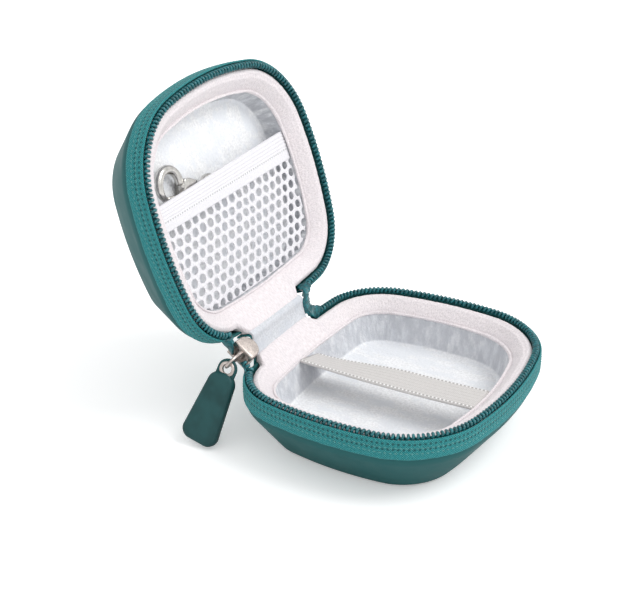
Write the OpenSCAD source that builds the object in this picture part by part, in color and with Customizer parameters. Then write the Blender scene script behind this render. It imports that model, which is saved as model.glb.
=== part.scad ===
// Small zipped hard case for earbuds, standing open on its base.
// Origin: centre of the base's underside, on the surface it stands on.
// X runs along the hinge, Y points back to the hinge, Z points up.

/* [Case] */
// Width of the case along its hinge
case_w = 84; // [76:1:110]
// Depth of the case from its hinge to its front
case_d = 72.6; // [66:0.2:96]
// Height of one half, from its outer face to its row of teeth
half_h = 22.1; // [20:0.1:30]
// Gap between the two rows of teeth when the case is shut
shut_gap = 2; // [1.4:0.1:4]
// Angle at which the lid stands open
open_angle = 109.3; // [70:0.1:120]
// How far the hinge line lies behind the case
hinge_out = 1.5; // [1.2:0.1:3]
// How far the hinge line lies above the base's row of teeth
hinge_up = 3.2; // [2.4:0.1:4]

/* [Outline] */
// Radius of the front edge's bow
front_bow = 104; // [80:1:300]
// Radius of the hinge edge's bow
back_bow = 276; // [120:1:500]
// Radius of the side edges' bow
side_bow = 99; // [80:1:300]
// Radius of the two front corners
front_corner = 26; // [20:0.5:32]
// Radius of the two corners beside the hinge
back_corner = 20; // [18:0.5:28]

/* [Shell] */
// Thickness of the moulded outer skin
skin_t = 0.8; // [0.5:0.1:1.5]
// Lean of the shell's wall from upright, in degrees
wall_lean = 37; // [20:1:45]
// Radius of the bend just below the zip tape
bend_r = 5; // [3:0.5:8]
// Radius of the edge round the outer face
edge_r = 4; // [3:0.5:6]
// Depth of the skin's upper edge below the teeth
skin_top = 2.5; // [2:0.1:4]

/* [Lining] */
// Depth of the base's cavity below the teeth
base_cavity = 14.5; // [12:0.1:17]
// Depth of the lid's cavity below its teeth
lid_cavity = 12; // [11:0.1:16]
// Distance from the case's side to the cavity's wall
cavity_in = 8.8; // [8:0.1:11]
// Lean of the cavity's wall from upright, in degrees
cavity_lean = 12; // [0:1:20]
// Radius between the cavity's wall and its floor
floor_r = 1.2; // [0.8:0.1:4]
// Thickness of the plush lining
lining_t = 1.2; // [0.8:0.1:2]

/* [Rim roll] */
// Distance from the case's side to the padded roll
roll_in = 3; // [2.8:0.1:4]
// Height of the padded roll, from its flat underside to its crest
roll_h = 3.8; // [3.4:0.1:4.4]
// Depth of the roll's crest below the teeth
roll_deep = 0.4; // [0.2:0.1:0.8]
// Distance from the roll's outer side to its crest
roll_crest = 1.2; // [0.8:0.1:2]
// Fullness of the roll's slope towards the cavity, where 2 is an ellipse
roll_full = 1.6; // [1.3:0.1:2.2]

/* [Zip] */
// Height of the zip tape
tape_h = 6.9; // [6:0.1:9]
// Thickness of the zip tape
tape_t = 0.6; // [0.4:0.1:0.8]
// Spacing of the teeth along a row
tooth_pitch = 1.39; // [1.2:0.01:2.4]
// Height of a tooth
tooth_h = 1.9; // [1.5:0.1:2.4]
// Thickness of a tooth, from the tape inwards
tooth_t = 1.5; // [1:0.1:1.9]
// Width of a tooth's head
tooth_head = 0.98; // [0.7:0.01:1.1]
// Width of a tooth's neck
tooth_neck = 0.66; // [0.5:0.01:0.9]
// Left end of the rows of teeth, beside the slider
row_left = -28.5; // [-29.5:0.1:-27.8]
// Right end of the rows of teeth
row_right = 12; // [11.5:0.1:20]
// Depth of the tape's edge below the teeth along the hinge
tape_drop = 5; // [4:0.1:5.4]
// Width of the folded tail that closes the right end
tail_w = 2.6; // [2:0.1:3]
// Thickness of that tail
tail_t = 2.8; // [2:0.1:3]

/* [Hinge strips] */
// Left end of the strips between base and lid
strip_left = -18.5; // [-19:0.1:-10]
// Right end of the strips between base and lid
strip_right = 9; // [6:0.1:9.1]
// Thickness of the outer strip
gusset_t = 0.6; // [0.4:0.1:0.8]
// Thickness of the plush inner strip
plush_t = 0.8; // [0.5:0.1:0.9]

/* [Strap] */
// Left edge of the elastic strap across the base
strap_left = -9; // [-20:0.5:-4]
// Width of the strap
strap_w = 10.8; // [8:0.1:14]
// Thickness of the strap
strap_t = 0.9; // [0.6:0.1:1.2]
// Depth of the strap's ends below the teeth
strap_depth = 4.7; // [4.6:0.1:6]
// Sag of the strap at its middle
strap_sag = 1.3; // [0:0.1:2]

/* [Pocket] */
// Height of the pocket's upper edge above the hinge edge of the lid
pocket_top = 45.5; // [40:0.5:50]
// Height of the elastic band along that edge
band_h = 8.8; // [6:0.1:9]
// Thickness of the elastic band
band_t = 1.2; // [0.8:0.1:1.6]
// Thickness of the net
net_t = 0.7; // [0.5:0.1:1]
// Spacing of the net's holes along a row
hole_pitch = 4.1; // [3.6:0.1:5]
// Spacing of the net's rows of holes
hole_row = 2.8; // [2.6:0.1:3.6]
// Width of a hole
hole_w = 2.5; // [1.5:0.1:3]
// Height of a hole
hole_h = 3.7; // [2.4:0.1:4]
// Plain edge round the net's holes
net_edge = 2; // [1.5:0.1:4]

/* [Slider] */
// Place of the plates' front edge along the hinge edge
slider_x = -24.7; // [-25.2:0.1:-24.6]
// How far the slider's middle lies before the hinge line
slider_fore = 0.3; // [0:0.1:0.8]
// How far the slider's middle lies below the hinge line
slider_low = 1.7; // [1.2:0.1:2]
// Width of the slider's plates
plate_w = 6.8; // [6:0.1:7.2]
// Length of the slider's plates
plate_l = 5.9; // [5.4:0.1:5.9]
// Thickness of a plate
plate_t = 1.2; // [0.8:0.1:1.3]
// Gap between the two plates
plate_gap = 3; // [2.4:0.1:3.2]
// Radius of the wedge between the plates
wedge_r = 1.3; // [1:0.1:1.5]
// Width of the slider's bail
bridge_w = 1.2; // [1:0.1:1.4]
// Thickness of the bail's bar
bridge_t = 0.9; // [0.8:0.1:1.2]
// Height of the bail's opening
bridge_clear = 2.2; // [2.2:0.1:2.6]
// Height of that opening above the middle of the slider
bridge_high = 0.6; // [0.4:0.1:0.6]
// Length of the bail's opening
bridge_open = 5; // [4.4:0.1:5.2]

/* [Pull] */
// Lean of the hanging pull away from the case
pull_lean = 24; // [12:1:34]
// Turn of the pull about the line that the teeth follow
pull_skew = 27; // [10:1:28]
// Radius of the wire link's bar
link_r = 0.55; // [0.5:0.05:0.6]
// Width of the wire link at the bail, between the middles of its arms
link_w = 4.4; // [4.4:0.1:5.4]
// Width of the wire link inside the grip
link_low = 3.8; // [3.8:0.1:4.2]
// Least gap between the link's bar and the bail
link_gap = 0.1; // [0.08:0.01:0.12]
// Gap between the link and the rubber moulded round it
link_fit = 0.05; // [0.02:0.01:0.1]
// Length of the wire link
link_l = 5.4; // [5:0.1:7]
// Length of the rubber grip
grip_l = 21.3; // [15:0.1:21.4]
// Width of the grip's lower end
grip_w = 10; // [8:0.1:12]
// Width of the grip's upper end
grip_neck = 8.2; // [7.4:0.1:9]
// Thickness of the grip
grip_t = 3; // [2.6:0.1:4]
// Radius of the grip's long edges
grip_round = 0.9; // [0.3:0.1:1.2]

/* [Clip] */
// Place of the hook's middle along the hinge
clip_x = -20.6; // [-20.8:0.1:-12]
// Height of the hook's middle above the hinge edge of the lid
clip_s = 46.8; // [42:0.1:47]
// Turn of the clip in the pocket, in degrees
clip_turn = 21; // [5:0.5:30]
// Depth of the lining's nap under the clip
clip_nap = 0.6; // [0.1:0.05:0.8]
// Radius of the hook's centre line
hook_r = 4.6; // [4.2:0.1:5]
// Radius of the hook's wire
wire_r = 1.2; // [1:0.05:1.3]
// Angle at which the hook's nose ends
nose_angle = 238; // [225:1:245]
// Length of the knuckle that carries the gate
knuckle_l = 5.8; // [5:0.1:7]
// Half of the knuckle's thickness
knuckle_half = 1.9; // [1.7:0.1:2.2]
// Width of the slot that the gate turns in
gate_slot = 1.9; // [1.7:0.1:2.2]
// Radius of the gate's bar
gate_r = 0.75; // [0.6:0.05:0.8]
// Radius of the gate's barrel
barrel_r = 1.35; // [1.2:0.05:1.5]
// Radius of the gate's pin
pin_r = 0.55; // [0.4:0.05:0.6]
// Running gap round the pin and beside the gate
run_gap = 0.08; // [0.05:0.01:0.1]
// Length of the clip's stem
stem_l = 4.5; // [3:0.5:8]
// Radius of the clip's stem
stem_r = 1.5; // [1.2:0.1:1.8]
// Radius of the end eye's centre line
eye_r = 3.2; // [3:0.1:5]

/* [Hidden] */
$fn = 48;

// Gap left between two soft pieces that meet without being fixed to each other
seat = 0.1;
// Gap left between a tooth and the tape it is sewn to
sewn = 0.06;
// Steps along half a bow, round a corner and round a small radius
bow_steps = 3;
corner_steps = 7;
arc_steps = 4;
slope_steps = 8;
strap_steps = 10;
// Length over which the tape's edge drops beside the hinge, in steps of the outline
drop_run = 0.12;

hinge_y = case_d / 2 + hinge_out;
hinge_z = half_h + hinge_up;
slider_turn = 90 - open_angle / 2;
roll_seat = half_h - roll_deep - roll_h;
roll_w = cavity_in - roll_in;

// The outline. A quarter runs along a side bow, round a corner and along an end bow, and
// each of its points is kept as [centre, radius, angle], so an inset only shortens the radius.
function side_centre() = [case_w / 2 - side_bow, 0];
function end_centre(bow) = [0, case_d / 2 - bow];
function corner_centre(bow, r) =
    let (c1 = end_centre(bow), c2 = side_centre(), d1 = bow - r, d2 = side_bow - r,
         v = c2 - c1, d = norm(v), x = (d1 * d1 - d2 * d2 + d * d) / (2 * d),
         h = sqrt(d1 * d1 - x * x), e = v / d)
    c1 + x * e + h * [e.y, -e.x];
function bearing(v) = atan2(v.y, v.x);
function arc_points(c, r, from, to, steps) =
    [for (k = [0:steps - 1]) [c, r, from + (to - from) * k / steps]];
function quarter(bow, r) =
    let (c = corner_centre(bow, r), low = bearing(c - side_centre()), high = bearing(c - end_centre(bow)))
    concat(arc_points(side_centre(), side_bow, 0, low, bow_steps),
           arc_points(c, r, low, high, corner_steps),
           arc_points(end_centre(bow), bow, high, 90, bow_steps),
           [[end_centre(bow), bow, 90]]);
function flip_x(p) = [[-p[0].x, p[0].y], p[1], 180 - p[2]];
function flip_y(p) = [[p[0].x, -p[0].y], p[1], 360 - p[2]];
back_right = quarter(back_bow, back_corner);
front_right = quarter(front_bow, front_corner);
per_quarter = len(back_right) - 1;
rim = concat([for (k = [0:per_quarter - 1]) back_right[k]],
             [for (k = [per_quarter:-1:1]) flip_x(back_right[k])],
             [for (k = [0:per_quarter - 1]) flip_y(flip_x(front_right[k]))],
             [for (k = [per_quarter:-1:1]) flip_y(front_right[k])]);
rim_n = len(rim);
function rim_point(k, inset) =
    let (p = rim[k % rim_n]) p[0] + (p[1] - inset) * [cos(p[2]), sin(p[2])];
function rim_at(u, inset) =
    let (k = floor(u), f = u - k) rim_point(k, inset) * (1 - f) + rim_point(k + 1, inset) * f;
function rim_steps() = [for (k = [0:rim_n - 1]) k];

// Place on the hinge edge, in steps of the outline, that has the given X
function step_at(x) =
    let (k = [for (i = [0:2 * per_quarter - 1])
              if (rim_point(i, 0).x >= x && x > rim_point(i + 1, 0).x) i][0],
         a = rim_point(k, 0).x, b = rim_point(k + 1, 0).x)
    k + (a - x) / (a - b);
row_from = step_at(row_left);
row_to = step_at(row_right) + rim_n;

// A solid skinned through rings of points that have the same count, from the first to the last
function skin_faces(m, n) =
    [for (j = [0:m - 2], i = [0:n - 1], half = [0, 1])
        let (a = j * n + i, b = j * n + (i + 1) % n, c = a + n, d = b + n)
        half == 0 ? [a, c, b] : [b, c, d]];
module skinned(rings) {
    m = len(rings);
    n = len(rings[0]);
    polyhedron(points = [for (r = rings, p = r) p],
               faces = concat([[for (i = [0:n - 1]) i]], skin_faces(m, n),
                              [[for (i = [n - 1:-1:0]) (m - 1) * n + i]]));
}

// A solid whose closed section runs round the whole outline
module round_rim(section) {
    m = len(section);
    n = rim_n;
    rings = [for (q = section) [for (k = rim_steps()) concat(rim_point(k, q[0]), q[1])]];
    polyhedron(points = [for (r = rings, p = r) p],
               faces = [for (j = [0:m - 1], i = [0:n - 1], half = [0, 1])
                   let (a = j * n + i, b = j * n + (i + 1) % n,
                        c = ((j + 1) % m) * n + i, d = ((j + 1) % m) * n + (i + 1) % n)
                   half == 0 ? [a, c, b] : [b, c, d]]);
}

function ring(q) = [for (k = rim_steps()) concat(rim_point(k, q[0]), q[1])];

// Outer face of the shell as [inset, height], drawn in by a distance off that face
bend_z = half_h - tape_h;
function foot_inset() =
    let (x = tape_t + bend_r * (1 - cos(wall_lean)), z = bend_z - bend_r * sin(wall_lean))
    x + (z - edge_r * (1 - sin(wall_lean))) * tan(wall_lean) + edge_r * cos(wall_lean);
function shell_face(off, top) = concat(
    [for (k = [0:arc_steps]) let (t = 90 - (90 - wall_lean) * k / arc_steps)
        [foot_inset() - (edge_r - off) * cos(t), edge_r - (edge_r - off) * sin(t)]],
    [for (k = [0:arc_steps]) let (t = wall_lean * (1 - k / arc_steps))
        [tape_t + bend_r - (bend_r - off) * cos(t), bend_z - (bend_r - off) * sin(t)]],
    [[tape_t + off, top]]);

// Face of the cavity as [inset, height] for a cavity of a given depth, pushed out by a distance
function cavity_face(depth, off) =
    let (zf = half_h - depth, zt = zf + floor_r * (1 - sin(cavity_lean)),
         foot = cavity_in + (roll_seat - zt) * tan(cavity_lean) + floor_r * cos(cavity_lean))
    concat([[cavity_in - off / cos(cavity_lean), roll_seat]],
           [for (k = [0:arc_steps]) let (t = cavity_lean + (90 - cavity_lean) * k / arc_steps)
               [foot - (floor_r + off) * cos(t), zf + floor_r - (floor_r + off) * sin(t)]]);
function turned(list) = [for (k = [len(list) - 1:-1:0]) list[k]];

module outer_skin() {
    top = half_h - skin_top;
    skinned([for (q = concat(shell_face(0, top), turned(shell_face(skin_t, top)))) ring(q)]);
}
module foam_core(depth) {
    skinned([for (q = concat(shell_face(skin_t, roll_seat), cavity_face(depth, lining_t))) ring(q)]);
}
module lining(depth) {
    skinned([for (q = concat(turned(cavity_face(depth, lining_t)), cavity_face(depth, 0))) ring(q)]);
}

// Padded roll that sits on the foam: a short rise beside the teeth, a crest and a full slope
// down to the cavity, as a closed section of [inset, height]
function roll_side(reach, full, from, to, steps) =
    [for (k = [0:steps]) let (t = from + (to - from) * k / steps)
        [roll_in + roll_crest + reach * pow(abs(cos(t)), 2 / full),
         roll_seat + roll_h * pow(abs(sin(t)), 2 / full)]];
module rim_roll() {
    inner = roll_side(roll_w - roll_crest, roll_full, 90, 0, slope_steps);
    round_rim(concat(roll_side(-roll_crest, 2.2, 0, 90, 4), [for (k = [1:slope_steps]) inner[k]]));
}

// Zip tape round the whole case, with its upper edge turned down along the hinge
tape_high = half_h - 0.3;
tape_low = half_h - tape_drop;
tape_run = concat(
    [for (k = [ceil(row_to - rim_n + 0.01):floor(row_from - 0.01)]) [k, tape_low]],
    [[row_from, tape_low], [row_from + drop_run, tape_high]],
    [for (k = [ceil(row_from + drop_run + 0.01):floor(row_to - drop_run - 0.01)]) [k, tape_high]],
    [[row_to - drop_run, tape_high], [row_to, tape_low]]);
module zip_tape() {
    n = len(tape_run);
    low = half_h - tape_h;
    rings = [[for (q = tape_run) concat(rim_at(q[0], 0), low)],
             [for (q = tape_run) concat(rim_at(q[0], 0), q[1])],
             [for (q = tape_run) concat(rim_at(q[0], tape_t), q[1])],
             [for (q = tape_run) concat(rim_at(q[0], tape_t), low)]];
    polyhedron(points = [for (r = rings, p = r) p],
               faces = [for (j = [0:3], i = [0:n - 1], half = [0, 1])
                   let (a = j * n + i, b = j * n + (i + 1) % n,
                        c = ((j + 1) % 4) * n + i, d = ((j + 1) % 4) * n + (i + 1) % n)
                   half == 0 ? [a, c, b] : [b, c, d]]);
}

// Row of teeth along the tape's inner face, from one end of the row to the other
row_run = concat([row_from + drop_run], [for (k = [ceil(row_from + drop_run + 0.01):floor(row_to - drop_run - 0.01)]) k],
                 [row_to - drop_run]);
row_points = [for (u = row_run) rim_at(u, tape_t + sewn)];
row_sum = [for (i = 0, s = 0; i < len(row_points);
                s = s + (i < len(row_points) - 1 ? norm(row_points[i + 1] - row_points[i]) : 0), i = i + 1) s];
row_length = row_sum[len(row_sum) - 1];
module tooth() {
    rotate([90, 0, 0])
        linear_extrude(tooth_t)
            polygon([[-tooth_neck / 2, 0], [tooth_neck / 2, 0],
                     [tooth_neck / 2, tooth_h * 0.35], [tooth_head / 2, tooth_h * 0.6],
                     [tooth_head / 2, tooth_h * 0.85], [tooth_head / 4, tooth_h],
                     [-tooth_head / 4, tooth_h], [-tooth_head / 2, tooth_h * 0.85],
                     [-tooth_head / 2, tooth_h * 0.6], [-tooth_neck / 2, tooth_h * 0.35]]);
}
module zip_teeth(phase) {
    count = floor(row_length / tooth_pitch - 1);
    for (k = [0:count - 1]) {
        s = (k + 0.5 + phase) * tooth_pitch;
        i = [for (j = [0:len(row_sum) - 2]) if (row_sum[j] <= s && s < row_sum[j + 1]) j][0];
        p = row_points[i];
        q = row_points[i + 1];
        f = (s - row_sum[i]) / (row_sum[i + 1] - row_sum[i]);
        translate(concat(p * (1 - f) + q * f, half_h - tooth_h))
            rotate([0, 0, bearing(q - p) + 180])
                tooth();
    }
}

// Frame of the lid: the base's own frame turned over and swung open about the hinge line
module in_lid() {
    translate([0, hinge_y, hinge_z])
        rotate([-open_angle, 0, 0])
            translate([0, -hinge_y, 2 * half_h + shut_gap - hinge_z])
                mirror([0, 0, 1])
                    children();
}
// Where a point of the lid, given as [y, z] in the base's frame, lies with the lid open
function lid_point(p) =
    let (y = p.x - hinge_y, z = 2 * half_h + shut_gap - p.y - hinge_z)
    [hinge_y + y * cos(open_angle) + z * sin(open_angle),
     hinge_z - y * sin(open_angle) + z * cos(open_angle)];

// A strip of even thickness along a line of [y, z] points, laid along X
function side_of(line, k, off) =
    let (a = line[max(k - 1, 0)], b = line[min(k + 1, len(line) - 1)], v = (b - a) / norm(b - a))
    line[k] + off * [v.y, -v.x];
module strip(line, from, to, thick) {
    translate([from, 0, 0])
        rotate([90, 0, 90])
            linear_extrude(to - from)
                polygon(concat([for (k = [0:len(line) - 1]) side_of(line, k, thick / 2)],
                               [for (k = [len(line) - 1:-1:0]) side_of(line, k, -thick / 2)]));
}

module base_outer_skin() { color("#345c5d") outer_skin(); }
module base_foam_core() { color("#2b2f30") foam_core(base_cavity); }
module base_lining() { color("#dee2e6") lining(base_cavity); }
module base_rim_roll() { color("#eee8ea") rim_roll(); }
module base_zip_tape() { color("#2f7a7b") zip_tape(); }
module base_zip_teeth() { color("#0f555a") zip_teeth(0); }
module lid_outer_skin() { color("#345c5d") in_lid() outer_skin(); }
module lid_foam_core() { color("#2b2f30") in_lid() foam_core(lid_cavity); }
module lid_lining() { color("#dee2e6") in_lid() lining(lid_cavity); }
module lid_rim_roll() { color("#eee8ea") in_lid() rim_roll(); }
module lid_zip_tape() { color("#2f7a7b") in_lid() zip_tape(); }
module lid_zip_teeth() { color("#0f555a") in_lid() zip_teeth(0.5); }

// Elastic strap from the back wall of the cavity to its front wall, with a slight sag
function wall_inset(depth) = cavity_in + (roll_seat - (half_h - depth)) * tan(cavity_lean);
module divider_strap() {
    inset = wall_inset(strap_depth + strap_t) + seat;
    edge = max(abs(strap_left), abs(strap_left + strap_w));
    far = case_d / 2 - inset - (back_bow - sqrt(back_bow * back_bow - edge * edge));
    near = case_d / 2 - inset - (front_bow - sqrt(front_bow * front_bow - edge * edge));
    line = [for (k = [0:strap_steps]) let (f = k / strap_steps)
        [-near + (far + near) * f,
         half_h - strap_depth - strap_t / 2 - strap_sag * sin(180 * f)]];
    color("#d7d5d3") strip(line, strap_left, strap_left + strap_w, strap_t);
}

// Folded tail where the two rows of teeth come together at the right end
module zip_tail() {
    back = case_d / 2 + seat;
    color("#0f555a")
        translate([row_right - tail_w, back, half_h - 0.8])
            cube([tail_w, tail_t, hinge_up + 0.5]);
}

// Outer strip of the hinge, outside both halves, and the plush strip inside it
fold_y = case_d / 2 + seat + gusset_t / 2;
module hinge_gusset() {
    line = [[fold_y, half_h - tape_h + 1.4], [fold_y, half_h - 0.8],
            lid_point([fold_y, half_h - 0.8]), lid_point([fold_y, half_h - tape_h + 1.4])];
    color("#2f7a7b") strip(line, strip_left, strip_right, gusset_t);
}
module hinge_plush() {
    y = case_d / 2 - roll_in + plush_t / 2 + seat;
    line = [[y, half_h - 1.5], [y + 0.5, half_h + 0.5],
            lid_point([y + 0.5, half_h + 0.5]), lid_point([y, half_h - 1.5])];
    color("#dee2e6") strip(line, strip_left, strip_right, plush_t);
}

// Pocket across the hinge side of the lid: a net under an elastic band
module pocket_outline(from, to) {
    intersection() {
        polygon([for (k = rim_steps()) rim_point(k, wall_inset(half_h - roll_seat + band_t) + seat)]);
        translate([-case_w / 2, case_d / 2 - to])
            square([case_w, to - from]);
    }
}
module net_hole() {
    polygon([[-hole_w / 2, -hole_h / 4], [0, -hole_h / 2], [hole_w / 2, -hole_h / 4],
             [hole_w / 2, hole_h / 4], [0, hole_h / 2], [-hole_w / 2, hole_h / 4]]);
}
band_low = pocket_top - band_h;
net_low = wall_inset(half_h - roll_seat + band_t) + seat;
function inside_net(x, y) =
    let (r = back_corner - net_low, cy = case_d / 2 - back_corner, cx = case_w / 2 - back_corner)
    abs(x) < case_w / 2 - net_low - net_edge - hole_w / 2
    && (y < cy || abs(x) < cx || norm([abs(x) - cx, y - cy]) < r - net_edge - hole_h / 2);
module pocket_net() {
    rows = floor((band_low - net_low - 2 * net_edge - hole_h) / hole_row);
    across = ceil(case_w / hole_pitch / 2);
    color("#f5f4f8") in_lid()
        translate([0, 0, roll_seat - net_t - seat])
            linear_extrude(net_t)
                difference() {
                    pocket_outline(0, band_low - seat);
                    for (j = [0:rows], i = [-across:across]) {
                        x = (i + (j % 2) / 2) * hole_pitch;
                        y = case_d / 2 - band_low + net_edge + hole_h / 2 + j * hole_row;
                        if (inside_net(x, y)) translate([x, y]) net_hole();
                    }
                }
}
module pocket_band() {
    color("#f5f4f8") in_lid()
        translate([0, 0, roll_seat - band_t - seat])
            linear_extrude(band_t)
                pocket_outline(band_low, pocket_top);
}

// Frame of the slider: origin at the middle of its mouth, X along the teeth, Y across them
// and Z towards the inside of the case
slider_y = hinge_y - slider_fore;
slider_z = hinge_z - slider_low;
module at_slider() {
    translate([slider_x, slider_y, slider_z])
        rotate([slider_turn, 0, 0])
            children();
}
plate_r = plate_w / 2;
rail_w = 0.8;
rail_h = 0.8;
exit_w = 3.6;
module plate_outline(off) {
    intersection() {
        translate([plate_l - plate_r, 0]) circle(plate_r - off);
        translate([0, -plate_r]) square([plate_l, plate_w]);
    }
    translate([0, off - plate_r]) square([plate_l - plate_r, plate_w - 2 * off]);
}
module rail_outline() {
    difference() {
        plate_outline(0);
        plate_outline(rail_w);
        translate([plate_l - plate_r, -exit_w / 2]) square([plate_r + 1, exit_w]);
    }
}
// A layer of the slider from one height to another
module layer(low, high) {
    translate([0, 0, low])
        linear_extrude(high - low)
            children();
}
module slider_body() {
    half = plate_gap / 2;
    color("#beb4af") at_slider() {
        layer(half, half + plate_t) plate_outline(0);
        layer(-half - plate_t, -half) plate_outline(0);
        layer(half - rail_h, half) rail_outline();
        layer(-half, rail_h - half) rail_outline();
        layer(-half, half) {
            translate([wedge_r, 0]) circle(wedge_r);
            translate([0, -bridge_w / 2]) square([wedge_r, bridge_w]);
        }
    }
}
// Bail before the slider's mouth, which carries the pull's link
bail_r = 1.6;
module slider_bridge() {
    low = bridge_high - bridge_clear - bridge_t;
    high = bridge_high + bridge_t;
    reach = bridge_open + bridge_t;
    color("#beb4af") at_slider()
        translate([0, bridge_w / 2, 0])
            rotate([90, 0, 0])
                linear_extrude(bridge_w)
                    difference() {
                        union() {
                            translate([bail_r - reach, low]) square([reach - bail_r, high - low]);
                            translate([-reach, low + bail_r]) square([bail_r, high - low - 2 * bail_r]);
                            for (z = [low + bail_r, high - bail_r])
                                translate([bail_r - reach, z]) circle(bail_r);
                        }
                        translate([-bridge_open, bridge_high - bridge_clear])
                            square([bridge_open + 1, bridge_clear]);
                    }
}

// Frame of the pull: origin in the link's bar, Y along that bar and Z up along the pull
link_x = link_r + link_gap - bridge_open;
link_z = bridge_high - bridge_clear + link_r / cos(pull_skew) + bridge_w / 2 * tan(pull_skew) + link_gap;
// Turns a flat outline so that it stands square to X, with its second axis along Z
module upright(x, thick) {
    translate([x, 0, 0])
        rotate([90, 0, 90])
            linear_extrude(thick)
                children();
}
module at_pull() {
    at_slider()
        translate([link_x, 0, link_z])
            rotate([-pull_skew, 0, 0])
                rotate([0, pull_lean, 0])
                    children();
}
// Arms and lower bar of the link, cut from a plate and made fuller by a distance
module link_frame(fuller) {
    half = link_r + fuller;
    upright(-link_r - fuller, 2 * half)
        difference() {
            polygon([[-link_w / 2 - half, 0], [-link_low / 2 - half, -link_l - half],
                     [link_low / 2 + half, -link_l - half], [link_w / 2 + half, 0]]);
            polygon([[-link_w / 2 + half, 1], [-link_w / 2 + half, 0], [-link_low / 2 + half, half - link_l],
                     [link_low / 2 - half, half - link_l], [link_w / 2 - half, 0], [link_w / 2 - half, 1]]);
        }
}
module pull_link() {
    reach = link_w + 2 * link_r;
    color("#c8c6c4") at_pull() {
        translate([0, -reach / 2, 0]) rotate([-90, 0, 0]) cylinder(h = reach, r = link_r);
        link_frame(0);
    }
}
// Rubber grip, moulded round the link's lower bar
grip_top = 2.2 - link_l;
module grip_outline(off) {
    r_low = grip_w * 0.36;
    r_top = grip_neck * 0.37;
    hull() {
        for (side = [-1, 1]) {
            translate([side * (grip_w / 2 - r_low), grip_top - grip_l + r_low]) circle(r_low - off, $fn = 32);
            translate([side * (grip_neck / 2 - r_top), grip_top - r_top]) circle(r_top - off, $fn = 32);
        }
    }
}
module pull_grip() {
    color("#2b5452") at_pull()
        difference() {
            union() {
                upright(grip_round - grip_t / 2, grip_t - 2 * grip_round) grip_outline(0);
                upright(-grip_t / 2, grip_t) grip_outline(grip_round);
            }
            link_frame(link_fit);
        }
}

// Frame of the clip in the lid: origin at the hook's middle, X towards the end eye
clip_y = case_d / 2 - clip_s;
clip_z = half_h - lid_cavity + knuckle_half + clip_nap;
module at_clip() {
    in_lid()
        translate([clip_x, clip_y, clip_z])
            rotate([0, 0, clip_turn])
                mirror([0, 1, 0])
                    children();
}
knuckle_x = hook_r - 0.3;
pivot_x = knuckle_x + barrel_r + 0.3;
pivot_y = -hook_r * 0.56;
knuckle_low = pivot_y - barrel_r;
knuckle_high = hook_r * 0.55;
eye_x = knuckle_x + knuckle_l + stem_l + eye_r;
nose_x = hook_r * cos(nose_angle);
nose_y = hook_r * sin(nose_angle);
module clip_frame() {
    color("#c8c8c3") at_clip()
        difference() {
            union() {
                rotate([0, 0, 12])
                    rotate_extrude(angle = nose_angle - 12)
                        translate([hook_r, 0]) circle(wire_r, $fn = 32);
                translate([knuckle_x, knuckle_low, -knuckle_half])
                    cube([knuckle_l, knuckle_high - knuckle_low, 2 * knuckle_half]);
                translate([knuckle_x, 0, 0])
                    rotate([0, 90, 0])
                        cylinder(h = knuckle_l + stem_l + eye_r * 0.1, r = stem_r);
                translate([eye_x, 0, 0])
                    rotate_extrude() translate([eye_r, 0]) circle(wire_r, $fn = 32);
            }
            translate([knuckle_x - 2, knuckle_low - 1, -gate_slot / 2])
                cube([pivot_x + barrel_r + run_gap - knuckle_x + 2, 2 * barrel_r + 1 + run_gap, gate_slot]);
            translate([pivot_x, pivot_y, -knuckle_half - 1])
                cylinder(h = 2 * knuckle_half + 2, r = pin_r);
        }
}
gate_end = 0.9;
module clip_gate() {
    half = gate_slot / 2 - run_gap;
    reach = norm([pivot_x - nose_x, pivot_y - nose_y]) - gate_end;
    way = bearing([nose_x - pivot_x, nose_y - pivot_y]);
    color("#c8c8c3") at_clip()
        difference() {
            translate([pivot_x, pivot_y, 0]) {
                translate([0, 0, -half]) cylinder(h = 2 * half, r = barrel_r);
                rotate([0, 0, way]) rotate([0, 90, 0]) cylinder(h = reach, r = gate_r);
            }
            translate([pivot_x, pivot_y, -knuckle_half - 1])
                cylinder(h = 2 * knuckle_half + 2, r = pin_r + run_gap);
        }
}
module clip_gate_pin() {
    color("#b4b4b0") at_clip()
        translate([pivot_x, pivot_y, -knuckle_half])
            cylinder(h = 2 * knuckle_half, r = pin_r);
}

base_outer_skin();
base_foam_core();
base_lining();
base_rim_roll();
base_zip_tape();
base_zip_teeth();
divider_strap();
zip_tail();
hinge_gusset();
hinge_plush();
lid_outer_skin();
lid_foam_core();
lid_lining();
lid_rim_roll();
lid_zip_tape();
lid_zip_teeth();
pocket_net();
pocket_band();
slider_body();
slider_bridge();
pull_link();
pull_grip();
clip_frame();
clip_gate();
clip_gate_pin();
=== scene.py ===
import math

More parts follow.
